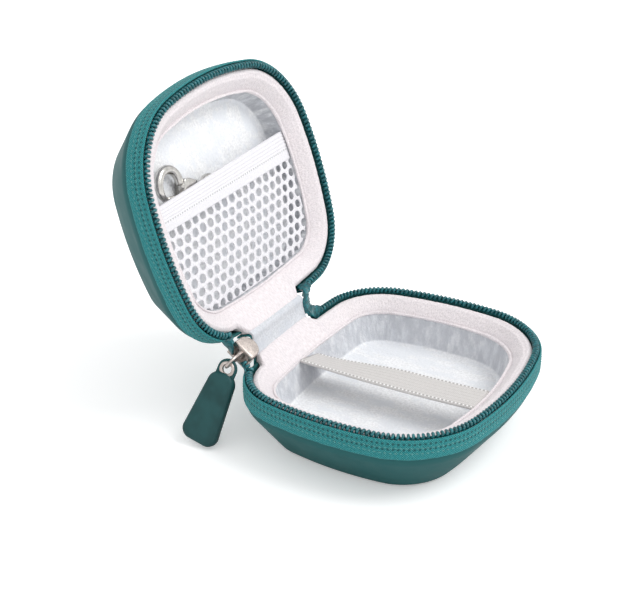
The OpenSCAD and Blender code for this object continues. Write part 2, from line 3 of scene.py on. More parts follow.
import bmesh
import bpy
from bpy.props import FloatProperty, FloatVectorProperty, PointerProperty
from mathutils import Matrix, Vector, noise
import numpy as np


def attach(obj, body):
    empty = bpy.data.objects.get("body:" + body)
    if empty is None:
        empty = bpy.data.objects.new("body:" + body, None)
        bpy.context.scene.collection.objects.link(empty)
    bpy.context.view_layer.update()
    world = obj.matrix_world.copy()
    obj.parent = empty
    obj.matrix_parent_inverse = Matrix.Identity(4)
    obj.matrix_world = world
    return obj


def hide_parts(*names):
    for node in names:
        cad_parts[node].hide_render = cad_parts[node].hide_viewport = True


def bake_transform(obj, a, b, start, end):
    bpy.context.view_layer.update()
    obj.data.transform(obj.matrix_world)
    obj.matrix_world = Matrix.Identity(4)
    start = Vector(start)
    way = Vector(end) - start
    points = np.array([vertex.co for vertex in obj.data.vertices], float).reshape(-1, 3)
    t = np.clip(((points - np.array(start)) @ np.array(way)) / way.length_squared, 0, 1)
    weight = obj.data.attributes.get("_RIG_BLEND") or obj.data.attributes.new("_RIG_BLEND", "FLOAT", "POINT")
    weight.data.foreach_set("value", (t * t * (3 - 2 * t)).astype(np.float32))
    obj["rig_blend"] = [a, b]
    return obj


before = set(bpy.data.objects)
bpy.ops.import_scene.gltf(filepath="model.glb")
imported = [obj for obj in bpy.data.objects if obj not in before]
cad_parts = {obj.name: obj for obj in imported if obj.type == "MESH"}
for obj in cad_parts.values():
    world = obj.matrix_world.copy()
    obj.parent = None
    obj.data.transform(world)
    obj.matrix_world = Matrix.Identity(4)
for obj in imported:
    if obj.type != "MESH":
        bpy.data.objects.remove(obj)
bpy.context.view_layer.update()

bl_info = {
    "name": "Zipped Earbud Case",
    "version": (1, 0, 0),
    "blender": (4, 5, 0),
    "location": "View3D > Sidebar > Case",
    "description": "Builds the shells, plush, zip, slider, pocket and clip of a small zipped hard case",
    "category": "Add Mesh",
}

# Sizes in millimetres, most of them as the part has them
MM = 0.001
CASE_W = 84.0
CASE_D = 72.6
HALF_H = 22.1
SHUT_GAP = 2.0
OPEN_ANGLE = math.radians(109.3)
HINGE_Y = CASE_D / 2 + 1.5
HINGE_Z = HALF_H + 3.2
FRONT_BOW = 104.0
BACK_BOW = 276.0
SIDE_BOW = 99.0
FRONT_CORNER = 26.0
BACK_CORNER = 20.0
SKIN_T = 0.8
WALL_LEAN = math.radians(37)
BEND_R = 5.0
EDGE_R = 4.0
SKIN_TOP = HALF_H - 2.5
BASE_CAVITY = 14.5
LID_CAVITY = 12.0
CAVITY_IN = 8.8
CAVITY_LEAN = math.radians(12)
FLOOR_R = 1.2
LINING_T = 1.2
ROLL_IN = 3.0
ROLL_H = 4.3
ROLL_SEAT = HALF_H - 1.4 - ROLL_H
ROLL_CREST = 1.2
HINGE_PAD = 2.9
TAPE_H = 6.9
TAPE_T = 0.6
TAPE_LOW = HALF_H - TAPE_H
TAPE_TOP = HALF_H - 1.15
TOOTH_PITCH = 1.39
TOOTH_H = 1.9
COIL_T = 2.1
SEWN = 0.06
ROW_LEFT = -28.5
ROW_RIGHT = 12.0
STRIP_LEFT = -18.5
STRIP_RIGHT = 9.0
SEAT = 0.1
STRAP_LEFT = -9.0
STRAP_W = 10.8
STRAP_T = 0.9
STRAP_DEPTH = 4.7
STRAP_SAG = 1.3
STRAP_DROP = 2.8
POCKET_TOP = 45.5
BAND_H = 8.8
BAND_T = 1.2
BAND_SEAM = 5.6
BAND_DIP = 1.3
NET_T = 0.7
HOLE_PITCH = 3.7
HOLE_ROW = 3.1
SLIDER_AT = (-24.7, HINGE_Y - 0.3, HINGE_Z - 1.7)
SLIDER_TURN = math.radians(90) - OPEN_ANGLE / 2
PLATE_W = 6.8
PLATE_L = 5.9
PLATE_T = 1.2
PLATE_GAP = 3.0
WEDGE_R = 1.3
BAIL_W = 1.2
BAIL_T = 0.9
BAIL_CLEAR = 2.2
BAIL_HIGH = 0.6
BAIL_OPEN = 5.0
PULL_LEAN = math.radians(24)
PULL_SKEW = math.radians(27)
PULL_HANG = math.radians(5.5)
LINK_R = 0.55
LINK_GAP = 0.1
LINK_L = 5.4
EYELET_R = 1.85
EAR_R = 2.95
GRIP_L = 21.3
GRIP_W = 11.2
GRIP_NECK = 8.2
GRIP_T = 3.0
CLIP_X = -20.6
CLIP_S = 46.8
CLIP_TURN = math.radians(21)
CLIP_NAP = 0.6
HOOK_R = 4.6
WIRE_R = 1.2
NOSE_ANGLE = math.radians(238)
KNUCKLE_L = 5.8
KNUCKLE_HALF = 1.9
GATE_R = 0.75
BARREL_R = 1.35
PIN_R = 0.55
STEM_L = 4.5
STEM_R = 1.5
EYE_R = 3.2

# What only the visual model has, in millimetres
COIL_IN = TAPE_T + SEWN + COIL_T / 2
ROW_Z = HALF_H - TOOTH_H / 2
ROW_END = 1.2
STITCH_ROWS = (2.2, 3.8)
STITCH_BEAT = 1.15
YARN_PITCH = 0.62
KNIT_PITCH = 0.5
WELT_R = 0.45
WELT_LIFT = 0.3
SEAM_AT = BAND_H / 2 - BAND_SEAM
SEAM_W = 0.25
SEAM_DEEP = 0.12
BAND_RIB = 1.08
STRAP_RIB = 1.6
LINING_LIP = ((8.05, 0.12), (8.35, 0.3), (8.65, 0.2))
HOLE_SIDE = 1.15
NET_RING = 0.62
NET_PULL = 0.55
NET_EDGES = 48
STRIP_TOP = (0, 36.95, 24.9)
END_LIFTS = ((0.0, 0.0), (1.0, 0.12), (2.0, 0.4))
END_TURNS = 4
END_SHORT = 7
END_OUT = 1.3
END_DOWN = 1.5
END_W = 3.0
MOUTH = ((-0.9, 1.95), (0.9, 1.7))
TAIL_W = 3.8
TAIL_T = 1.7
TAIL_RIB = 0.85
TAIL_LIFTS = ((0.0, 0.0), (1.1, 0.15))
TAIL_TURN = (((10.2, 35.9, 22.6), (-0.3, 0.8, -0.5)), ((9.9, 36.7, 24.8), (-0.2, 1, 0)),
             ((10.2, 36.9, 27.0), (-0.3, 0.9, 0.5)))
BAIL_LINE = ((0.9, BAIL_HIGH + 0.45), (-1.6, BAIL_HIGH + 0.45), (-3.9, BAIL_HIGH + 0.4), (-5.25, -0.1),
             (-5.3, -1.0), (-4.1, -2.02), (-1.6, -2.05), (0.9, -2.05))

# Steps round the outline, one count for each kind of piece
SHELL_CUTS = 256
CORE_CUTS = 160
LINING_CUTS = 420
ROLL_CUTS = 320
TAPE_CUTS = 620

# The rolls' swelling, the painted shade of the linings and of the hinge strip, other tones, and the stage's
# light and camera
SWELL_SCALE = 10.0
SWELL_PRESSURE = 4.0
SWELL_FRAMES = 20
# Painted shade for each lining: how light all of it is, the base's darker than the lid's, and how dark its
# walls are
LINING_PAINTED_SHADE = {"base": (0.95, 0.62), "lid": (1.0, 0.48)}
# Painted shade: how much darker than the lining the hinge strip is, for the shade between the two rolls
STRIP_SHADE = (0.72, 0.735, 0.76, 1.0)
STITCH_WHITE = (0.95, 0.95, 0.95, 1.0)
FLOOR_TONE = (0.93, 0.93, 0.935, 1.0)
WHITE = (1.0, 1.0, 1.0, 1.0)
WORLD_LIGHT = 0.92
FLOOR_GLOW = 0.27
LAMPS = (("key_light", 1.35, 34, (0.22, -0.58, 0.79)), ("fill_light", 0.2, 90, (-0.5, -0.7, 0.4)))
CAMERA_AT = (-0.32444, -0.15919, 0.2198)
CAMERA_AIM = (0.00646, 0.02936, 0.03113)
CAMERA_LENS = 82.125

LID_OPEN = (Matrix.Translation((0, HINGE_Y, HINGE_Z)) @ Matrix.Rotation(-OPEN_ANGLE, 4, "X")
            @ Matrix.Translation((0, -HINGE_Y, 2 * HALF_H + SHUT_GAP - HINGE_Z))
            @ Matrix.Scale(-1, 4, (0, 0, 1)))
AT_SLIDER = Matrix.Translation(SLIDER_AT) @ Matrix.Rotation(SLIDER_TURN, 4, "X")
LINK_AT = (LINK_R + LINK_GAP - BAIL_OPEN, 0, BAIL_HIGH - BAIL_CLEAR + LINK_R / math.cos(PULL_SKEW)
           + BAIL_W / 2 * math.tan(PULL_SKEW) + LINK_GAP)
AT_PULL = (AT_SLIDER @ Matrix.Translation(LINK_AT) @ Matrix.Rotation(PULL_HANG - PULL_SKEW, 4, "X")
           @ Matrix.Rotation(PULL_LEAN, 4, "Y"))
AT_CLIP = (LID_OPEN
           @ Matrix.Translation((CLIP_X, CASE_D / 2 - CLIP_S, HALF_H - LID_CAVITY + KNUCKLE_HALF + CLIP_NAP))
           @ Matrix.Rotation(CLIP_TURN, 4, "Z") @ Matrix.Scale(-1, 4, (0, 1, 0)))
HALVES = (("base", BASE_CAVITY, None), ("lid", LID_CAVITY, LID_OPEN))


def linear(text):
    """The linear colour of a written one, such as 345c5d."""
    parts = [int(text[k:k + 2], 16) / 255 for k in (0, 2, 4)]
    return tuple(p / 12.92 if p <= 0.04045 else ((p + 0.055) / 1.055) ** 2.4 for p in parts) + (1.0,)


def colour(label, description, text):
    """A colour property that starts at a written colour."""
    return FloatVectorProperty(name=label, description=description, subtype="COLOR", size=4,
                               min=0.0, max=1.0, default=linear(text))


def length(label, description, size):
    """A length property that starts at a size in millimetres."""
    return FloatProperty(name=label, description=description, unit="LENGTH", min=0.0, default=size * MM)


class CaseSizes(bpy.types.PropertyGroup):
    """Sizes of the soft and sewn details"""

    tuft: length("Tuft depth", "How far the rim roll's tufts stand out", 0.13)
    nap: length("Nap depth", "How far the lining's brushed nap stands out", 0.16)
    wire: length("Coil wire", "Radius of the zip coil's wire", 0.46)
    wave: length("Tape wave", "How far the zip tape's lower edge waves", 0.14)
    stitch: length("Stitch length", "Length of one stitch on the zip tape", 0.95)
    swell: length("Roll swell", "The most that the rim roll may swell", 0.18)
    billow: length("Net billow", "How far the pocket's net stands out at its middle", 0.5)
    floor_size: length("Floor size", "Width of the studio floor", 4000.0)


class CaseColours(bpy.types.PropertyGroup):
    """Colours of the case's finishes"""

    shell: colour("Shell", "Soft-touch moulded shell", "265a5b")
    tape: colour("Tape", "Woven zip tape", "238489")
    tape_light: colour("Tape threads", "Lightest threads of the zip tape", "66b0aa")
    coil: colour("Coil", "Nylon zip coil", "105a60")
    roll: colour("Roll", "Plush of the rim rolls", "eae3e5")
    lining: colour("Lining", "Brushed plush of the linings", "f6f7f9")
    strap: colour("Strap", "Elastic strap", "cdcac8")
    band: colour("Band", "Elastic band of the pocket", "e9e8ec")
    net: colour("Net", "Threads of the pocket's net", "ebeaee")
    rubber: colour("Rubber", "Soft rubber of the pull", "214849")
    slider: colour("Slider", "Warm silver of the slider", "c4bab4")
    nickel: colour("Nickel", "Polished nickel of the clip", "cfcdc9")
    foam: colour("Foam", "Moulded foam inside the shells", "3a3f41")


# The outline: side bow, corner and end bow, a quarter at a time
def bearing(v):
    return math.atan2(v.y, v.x)


def quarter_arcs(bow, corner):
    """The three arcs of a quarter of the outline, as centre, radius and first and last angle."""
    side = Vector((CASE_W / 2 - SIDE_BOW, 0))
    end = Vector((0, CASE_D / 2 - bow))
    d1, d2 = bow - corner, SIDE_BOW - corner
    way = side - end
    span = way.length
    x = (d1 * d1 - d2 * d2 + span * span) / (2 * span)
    h = math.sqrt(d1 * d1 - x * x)
    e = way / span
    c = end + x * e + h * Vector((e.y, -e.x))
    low, high = bearing(c - side), bearing(c - end)
    return [(side, SIDE_BOW, 0.0, low), (c, corner, low, high), (end, bow, high, math.pi / 2)]


BACK_ARCS = quarter_arcs(BACK_BOW, BACK_CORNER)
FRONT_ARCS = quarter_arcs(FRONT_BOW, FRONT_CORNER)
BACK_LENGTH = sum(r * (b - a) for _, r, a, b in BACK_ARCS)
FRONT_LENGTH = sum(r * (b - a) for _, r, a, b in FRONT_ARCS)
RIM_LENGTH = 2 * (BACK_LENGTH + FRONT_LENGTH)


def rim_arc(s):
    """Centre, radius and direction of the outline at a distance round it from the right side's middle."""
    s %= RIM_LENGTH
    back = s < 2 * BACK_LENGTH
    arcs, whole = (BACK_ARCS, BACK_LENGTH) if back else (FRONT_ARCS, FRONT_LENGTH)
    t = s if back else s - 2 * BACK_LENGTH
    right = (t <= whole) == back
    t = min(t, 2 * whole - t)
    for centre, radius, first, last in arcs:
        if t <= radius * (last - first) + 1e-9:
            break
        t -= radius * (last - first)
    angle = first + t / radius
    mx, my = (1 if right else -1), (1 if back else -1)
    out = Vector((math.cos(angle) * mx, math.sin(angle) * my))
    return Vector((centre.x * mx, centre.y * my)), radius, out


def rim_point(s, inset=0.0):
    """Point of the outline, drawn in by an inset."""
    centre, radius, out = rim_arc(s)
    return centre + (radius - inset) * out


def settle(low, high, passes):
    """The last place between two, from the first on, that passes a test."""
    for _ in range(40):
        middle = (low + high) / 2
        if passes(middle):
            low = middle
        else:
            high = middle
    return low


def rim_at_x(x):
    """Distance round the outline of the hinge edge's point with that X."""
    return settle(0.0, 2 * BACK_LENGTH, lambda s: rim_point(s).x > x)


def rim_width(y, inset):
    """Half of the outline's width at a place on its depth, drawn in by an inset."""
    ends = (0.0, BACK_LENGTH) if y >= 0 else (RIM_LENGTH, 2 * BACK_LENGTH + FRONT_LENGTH)
    return abs(rim_point(settle(*ends, lambda s: abs(rim_point(s, inset).y) < abs(y)), inset).x)


ROW_FROM = rim_at_x(ROW_LEFT)
ROW_TO = rim_at_x(ROW_RIGHT) + RIM_LENGTH


def held(share):
    return max(0.0, min(1.0, share))


def eased(share):
    """A share held between 0 and 1, with a soft start and end."""
    share = held(share)
    return share * share * (3 - 2 * share)


def spaced(first, last, steps):
    """Numbers evenly spaced from one to another, both among them."""
    return [first + (last - first) * k / steps for k in range(steps + 1)]


def curve(x, y, radius, first, last, steps):
    """Points on a circle about a point, from one angle to another; a negative radius takes its far side."""
    return [(x + radius * math.cos(t), y + radius * math.sin(t)) for t in spaced(first, last, steps)]


def foot_inset():
    x = TAPE_T + BEND_R * (1 - math.cos(WALL_LEAN))
    z = TAPE_LOW - BEND_R * math.sin(WALL_LEAN)
    return x + (z - EDGE_R * (1 - math.sin(WALL_LEAN))) * math.tan(WALL_LEAN) + EDGE_R * math.cos(WALL_LEAN)


def shell_face(off, top):
    """The shell's outer face as inset and height, from its foot to its top, drawn in by a distance."""
    line = curve(foot_inset(), EDGE_R, off - EDGE_R, math.pi / 2, WALL_LEAN, 10)
    return line + curve(TAPE_T + BEND_R, TAPE_LOW, off - BEND_R, WALL_LEAN, 0, 8) + [(TAPE_T + off, top)]


def cavity_face(depth, off, steps=10):
    """The cavity's face as inset and height, from the rim roll's seat down to its floor."""
    floor = HALF_H - depth
    bend = floor + FLOOR_R * (1 - math.sin(CAVITY_LEAN))
    foot = CAVITY_IN + (ROLL_SEAT - bend) * math.tan(CAVITY_LEAN) + FLOOR_R * math.cos(CAVITY_LEAN)
    top = (CAVITY_IN - off / math.cos(CAVITY_LEAN), ROLL_SEAT)
    return [top] + curve(foot, floor + FLOOR_R, -FLOOR_R - off, CAVITY_LEAN, math.pi / 2, steps)


def hinge_share(s):
    """How far the rim belongs to the hinge's middle, where the zip leaves it: 0 to 1."""
    p = rim_point(s)
    return 0.0 if p.y < 0 else eased(min((p.x - STRIP_LEFT + 3.5) / 4, (STRIP_RIGHT + 1.5 - p.x) / 3))


def roll_section(s):
    """The roll's closed section: a rise beside the teeth, a crest, a full slope and a welt at its foot."""
    pad = hinge_share(s)
    out = ROLL_IN - 0.4 - HINGE_PAD * pad
    crest = ROLL_IN + ROLL_CREST - 0.1 - (HINGE_PAD + 0.3) * pad
    top = ROLL_SEAT + ROLL_H + 1.2 * pad
    line = [(out + 1.2, ROLL_SEAT + 0.05), (out + 0.5, ROLL_SEAT + 1.0)]
    line += [(crest - (crest - out) * math.cos(t), top - 1.1 + 1.1 * math.sin(t))
             for t in spaced(0, math.radians(75), 5)]
    foot = CAVITY_IN - 0.55
    for k in range(12):
        u = k / 11
        line.append((crest + (foot - crest) * u,
                     top - (top - ROLL_SEAT - 0.3) * u ** 1.12 + 0.12 * math.sin(math.pi * u)))
    line += curve(CAVITY_IN - 0.1, ROLL_SEAT + WELT_LIFT, WELT_R, math.radians(150), math.radians(-110), 7)
    return line + [(CAVITY_IN - 0.9, ROLL_SEAT + 0.02)]


def between(a, b, steps):
    """Points between two, the first left out."""
    return [tuple(p + (q - p) * k / steps for p, q in zip(a, b)) for k in range(1, steps + 1)]


def runs(points):
    """How far each point of a line is from its start, along it."""
    sums = [0.0]
    for a, b in zip(points, points[1:]):
        sums.append(sums[-1] + (b - a).length)
    return sums


# Mesh helpers
def new_mesh():
    bm = bmesh.new()
    bm.verts.layers.float.new("around")
    bm.verts.layers.float.new("along")
    bm.verts.layers.int.new("corner")
    return bm


def run_layers(bm):
    return bm.verts.layers.float["around"], bm.verts.layers.float["along"]


def new_verts(made):
    return [g for g in made if isinstance(g, bmesh.types.BMVert)]


def outer_edges(verts):
    """The edges whose two ends are both among some vertices, in the vertices' own order."""
    among = set(verts)
    return list(dict.fromkeys(e for v in verts for e in v.link_edges if e.other_vert(v) in among))


def extruded(bm, ring):
    """A ring of vertices grown from another."""
    return new_verts(bmesh.ops.extrude_edge_only(bm, edges=outer_edges(ring))["geom"])


def sweep_rim(bm, count, sections, closed=False):
    """Lays a circle along the outline and extrudes it through a section given at each distance.

    sections(s) gives (inset, height) or (inset, height, share of the way from the middle).
    """
    around, along = run_layers(bm)
    ring = bmesh.ops.create_circle(bm, segments=count, radius=1.0)["verts"]
    for k, v in enumerate(ring):
        v[around] = RIM_LENGTH * k / count
    lines = {v[around]: sections(v[around]) for v in ring}
    steps = len(lines[ring[0][around]])
    before = None
    for j in range(steps + (1 if closed else 0)):
        if j:
            ring = extruded(bm, ring)
        for v in ring:
            q = lines[v[around]][j % steps]
            flat = rim_point(v[around], q[0]) * (q[2] if len(q) > 2 else 1.0)
            v.co = (flat.x, flat.y, q[1])
        here = lines[ring[0][around]][j % steps]
        if before is not None:
            gap = math.hypot(here[0] - before[0], here[1] - before[1])
            for v in ring:
                v[along] += gap
        before = here
    return bm


def cap_ends(bm):
    """Closes each open ring of edges with one face."""
    bmesh.ops.holes_fill(bm, edges=[e for e in bm.edges if e.is_boundary], sides=0)


def map_by_length(bm):
    """Gives the cloth a UV map in millimetres: round the case, and across the piece."""
    around, along = run_layers(bm)
    uv = bm.loops.layers.uv.new("cloth")
    for face in bm.faces:
        low = min(loop.vert[around] for loop in face.loops)
        for loop in face.loops:
            u = loop.vert[around]
            if low < RIM_LENGTH * 0.25 and u > RIM_LENGTH * 0.75:
                u -= RIM_LENGTH
            loop[uv].uv = (u, loop.vert[along])


def sweep_path(bm, path, section, up=(0, 0, 1), closed=False):
    """Extrudes a closed section along a path; section is a list of offsets, or gives one at each step."""
    corner = bm.verts.layers.int["corner"]
    around, along = run_layers(bm)
    points = [Vector(p) for p in path]
    last = len(points) - 1
    shape = section if callable(section) else (lambda k: section)
    first = ring = [bm.verts.new((0, 0, 0)) for _ in shape(0)]
    for k, v in enumerate(ring):
        v[corner] = k
    for k in range(1, len(ring) + 1):
        bm.edges.new((ring[k % len(ring)], ring[(k + 1) % len(ring)]))
    run = 0.0
    for j, p in enumerate(points):
        if closed:
            way = (points[(j + 1) % (last + 1)] - points[j - 1]).normalized()
        else:
            way = (points[min(j + 1, last)] - points[max(j - 1, 0)]).normalized()
        side = way.cross(Vector(up(j)) if callable(up) else Vector(up)).normalized()
        high = side.cross(way)
        if j:
            ring = extruded(bm, ring)
            run += (p - points[j - 1]).length
        offsets = shape(j)
        for v in ring:
            a, b = offsets[v[corner]]
            v.co = p + side * a + high * b
            v[around] = run
            v[along] = a
    if closed:
        bmesh.ops.bridge_loops(bm, edges=outer_edges(first) + outer_edges(ring))
    else:
        for end in (first, ring):
            bmesh.ops.contextual_create(bm, geom=outer_edges(end))


def round_section(radius, sides):
    return curve(0, 0, radius, 0, 2 * math.pi, sides)[:-1]


def flat_section(width, thick, radius, steps=3):
    """A rounded rectangle as a closed list of offsets."""
    made = []
    for x, y, first in ((1, 1, 0), (-1, 1, 90), (-1, -1, 180), (1, -1, 270)):
        made += curve(x * (width / 2 - radius), y * (thick / 2 - radius), radius, math.radians(first),
                      math.radians(first + 90), steps)
    return made


def fine_section(width, thick, radius, cuts):
    """A rounded rectangle with its long sides cut into short ones."""
    edge = flat_section(width, thick, radius)
    made = []
    for p, q in zip(edge, edge[1:] + edge[:1]):
        made += [p] + (between(p, q, cuts)[:-1] if abs(p[0] - q[0]) > 2 else [])
    return made


def smooth_path(points, steps):
    """Points along a smooth curve through some points."""
    pts = [Vector(p) for p in points]
    made = []
    for k in range(len(pts) - 1):
        a, b = pts[k], pts[k + 1]
        before, after = pts[max(k - 1, 0)], pts[min(k + 2, len(pts) - 1)]
        for i in range(steps):
            t = i / steps
            made.append(0.5 * (2 * a + (b - before) * t + (2 * before - 5 * a + 4 * b - after) * t * t
                               + (3 * a - before - 3 * b + after) * t * t * t))
    return made + [pts[-1]]


def add_object(name, data):
    made = bpy.data.objects.new(name, data)
    bpy.context.scene.collection.objects.link(made)
    return made


def finish_piece(bm, name, finish, matrix=None, tidy=True):
    """Turns a mesh in millimetres into a piece of the case, with its normals outwards."""
    if matrix is not None:
        bm.transform(matrix)
    if tidy:
        bmesh.ops.remove_doubles(bm, verts=bm.verts, dist=0.002)
    bmesh.ops.recalc_face_normals(bm, faces=bm.faces)
    bm.transform(Matrix.Scale(MM, 4))
    for face in bm.faces:
        face.smooth = True
    mesh = bpy.data.meshes.new(name)
    bm.to_mesh(mesh)
    bm.free()
    mesh.materials.append(finish)
    return add_object(name, mesh)


def hold(made, body, node=None):
    """Puts a piece on its body, and hides the solid that it stands for."""
    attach(made, body)
    if node:
        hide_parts(node)
    return made


def bend(made, start, end, slot, other="lid", body="base"):
    """Bends a piece between two bodies, from one point in millimetres to another."""
    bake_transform(made, body, other, start=at_mm(start), end=at_mm(end))
    return made


def map_sweep(bm, turned=False):
    """Gives a swept piece a UV map in millimetres: along its path and across it, or turned."""
    uv = bm.loops.layers.uv.new("cloth")
    around, along = run_layers(bm)
    for face in bm.faces:
        for loop in face.loops:
            u, v = loop.vert[around], loop.vert[along]
            loop[uv].uv = (v, u) if turned else (u, v)


def swept(name, finish, path, section, up=(0, 0, 1), closed=False, matrix=None, tidy=True):
    """A piece that is one section along one path."""
    bm = new_mesh()
    sweep_path(bm, path, section, up, closed)
    return finish_piece(bm, name, finish, matrix, tidy)


def rough(p, size):
    """Two sizes of noise at a point in millimetres, from about -1 to 1."""
    return 0.65 * noise.noise(p / size) + 0.45 * noise.noise(p * 2.3 / size + Vector((7, 3, 5)))


def tuft_mesh(bm, depth, size, where=None):
    """Pushes points of a plush face in and out along their normals."""
    bm.normal_update()
    moves = []
    for v in bm.verts:
        share = 1.0 if where is None else where(v)
        if share > 0:
            moves.append((v, v.normal * (depth * share * rough(v.co, size))))
    for v, move in moves:
        v.co += move


def swell(made, cap):
    """Blows a padded piece up a little with the cloth solver, on a copy ten times as large."""
    work = add_object("swelling", made.data.copy())
    work.data.transform(Matrix.Scale(SWELL_SCALE, 4))
    rest = [v.co.copy() for v in work.data.vertices]
    cloth = work.modifiers.new("cloth", "CLOTH")
    cloth.settings.use_pressure = True
    cloth.settings.uniform_pressure_force = SWELL_PRESSURE
    cloth.settings.effector_weights.gravity = 0
    cloth.settings.tension_stiffness = 12
    cloth.settings.compression_stiffness = 12
    cloth.settings.bending_stiffness = 0.4
    cloth.point_cache.frame_start = 1
    cloth.point_cache.frame_end = SWELL_FRAMES
    for step in range(1, SWELL_FRAMES + 1):
        bpy.context.scene.frame_set(step)
    full = work.evaluated_get(bpy.context.evaluated_depsgraph_get())
    ends = [v.co.copy() for v in full.data.vertices]
    for v, start, end in zip(made.data.vertices, rest, ends):
        move = (end - start) / SWELL_SCALE
        if move.length > cap:
            move *= cap / move.length
        v.co = start / SWELL_SCALE + move
    bpy.data.objects.remove(work)
    bpy.context.scene.frame_set(1)


# Materials
def tinted(tone, tint):
    return tuple(c * k for c, k in zip(tone, tint))


def feed(tree, socket, value):
    """Gives an input its value, or links it to the output that feeds it."""
    if isinstance(value, bpy.types.NodeSocket):
        tree.links.new(value, socket)
    else:
        socket.default_value = value


class Finish:
    """A material under work, with short ways to add the nodes that feed its shader."""

    def __init__(self, name, base, roughness, metallic=0.0, **shader):
        self.material = bpy.data.materials.new(name)
        self.material.use_nodes = True
        self.material.diffuse_color = base
        self.tree = self.material.node_tree
        self.shader = self.tree.nodes["Principled BSDF"]
        self.base = tuple(base)
        self.set("Base Color", self.base)
        self.set("Roughness", roughness)
        self.set("Metallic", metallic)
        for key, value in shader.items():
            self.set(key.replace("_", " "), value)

    def set(self, socket, value):
        feed(self.tree, self.shader.inputs[socket], value)

    def put(self, kind, sockets, **settings):
        node = self.tree.nodes.new("ShaderNode" + kind)
        for key, value in settings.items():
            setattr(node, key, value)
        for key, value in sockets.items():
            feed(self.tree, node.inputs[key], value)
        return node

    def place(self, scale=(1, 1, 1), source="Object", turn=(0, 0, 0)):
        """Coordinates in millimetres, of the object or of the cloth's own map."""
        whole = 1 / MM if source == "Object" else 1.0
        point = self.put("TexCoord", {}).outputs[source]
        return self.put("Mapping", {"Vector": point, "Scale": [whole * s for s in scale],
                                    "Rotation": turn}).outputs[0]

    def cloth_ways(self):
        """The two ways of the cloth's own map, in millimetres: along it and across it."""
        return self.put("SeparateXYZ", {0: self.place(source="UV")}).outputs[:2]

    def noise(self, vector, scale, detail, roughness=0.5):
        return self.put("TexNoise", {"Vector": vector, "Scale": scale, "Detail": detail,
                                     "Roughness": roughness}).outputs[0]

    def math(self, operation, a, b=0.0):
        return self.put("Math", {0: a, 1: b}, operation=operation).outputs[0]

    def plus(self, a, b):
        return self.math("ADD", a, b)

    def minus(self, a, b):
        return self.math("SUBTRACT", a, b)

    def times(self, a, b):
        return self.math("MULTIPLY", a, b)

    def wave(self, value, pitch):
        return self.math("SINE", self.times(value, 2 * math.pi / pitch))

    def spread(self, value, low, high, to_low=0.0, to_high=1.0):
        """Maps a value's range to another, held at its ends."""
        return self.put("MapRange", {"Value": value, "From Min": low, "From Max": high, "To Min": to_low,
                                     "To Max": to_high}, interpolation_type="SMOOTHSTEP").outputs[0]

    def mix(self, share, a, b):
        return self.put("Mix", {0: share, 6: a, 7: b}, data_type="RGBA").outputs[2]

    def shade(self, amount):
        """The base colour made lighter or darker, as a plain colour."""
        return tuple(min(1.0, c * amount) for c in self.base[:3]) + (1.0,)

    def mottle(self, value, low, high, dark, light):
        """Turns a value's range into a darker and a lighter shade of the base colour."""
        self.set("Base Color", self.mix(self.spread(value, low, high), self.shade(dark), self.shade(light)))

    def bump(self, height, depth, **under):
        sockets = {"Height": height, "Distance": depth * MM, "Strength": 1.0, **under}
        return self.put("Bump", sockets).outputs[0]

    def relief(self, height, depth, **under):
        """Adds the last bumps, and hands the material over."""
        self.set("Normal", self.bump(height, depth, **under))
        return self.material


def plush_finish(name, base, size, brushed, lay=(1, 1, 1), source="Object", wall=None, wall_shade=0.6):
    """Short warm plush, or the same brushed into pale and dark patches.

    lay draws the pile out one way. wall is the reach up to which a cavity's plush lies on its wall; the
    wall gets a painted shade, darker the lower the last argument is.
    """
    f = Finish(name, base, 0.92, Sheen_Weight=0.3, Sheen_Roughness=0.45, Specular_IOR_Level=0.1)
    point = f.place(scale=lay, source=source)
    fibre = f.noise(point, 1 / size, 4.0, 0.65)
    patch = f.noise(f.place(scale=(1, 0.4, 1), turn=(0, 0, 0.6)), 0.2, 4.0, 0.65)
    tone = f.mix(f.spread(fibre, 0.32, 0.68), f.shade(0.87), f.shade(1.07))
    deep = tinted(f.base, (0.88, 0.9, 0.925, 1.0))
    tone = f.mix(f.times(f.spread(patch, 0.42, 0.6), brushed), tone, deep)
    if wall is not None:
        # Painted shade: all but the floor is mixed, in soft streaks, towards a darker and bluer copy of the
        # plush
        streak = f.noise(f.place(scale=(1, 0.5, 1), source="UV", turn=(0, 0, 0.5)), 0.35, 4.0, 0.65)
        side = f.spread(f.cloth_ways()[1], wall - 0.5, wall + 0.3, 1.0, 0.0)
        shadow = tinted(f.base, (wall_shade, wall_shade * 1.02, wall_shade * 1.07, 1.0))
        tone = f.mix(f.times(side, f.spread(streak, 0.3, 0.62, 0.35, 1.0)), tone, shadow)
    f.set("Base Color", tone)
    return f.relief(fibre, 0.3, Normal=f.bump(f.noise(point, 2.4 / size, 2.0), 0.09))


def shell_finish(colours):
    f = Finish("soft_touch_shell", colours.shell, 0.5, Specular_IOR_Level=0.12)
    point = f.place()
    cloud = f.noise(point, 0.035, 2.0)
    grain = f.noise(point, 7.0, 2.0)
    tone = f.mix(f.spread(cloud, 0.3, 0.7), f.shade(0.95), f.shade(1.05))
    f.set("Base Color", f.mix(f.spread(grain, 0.35, 0.7, 0.0, 0.1), tone, f.shade(1.3)))
    f.set("Roughness", f.spread(f.noise(point, 0.12, 2.0), 0.3, 0.7, 0.45, 0.55))
    return f.relief(grain, 0.004)


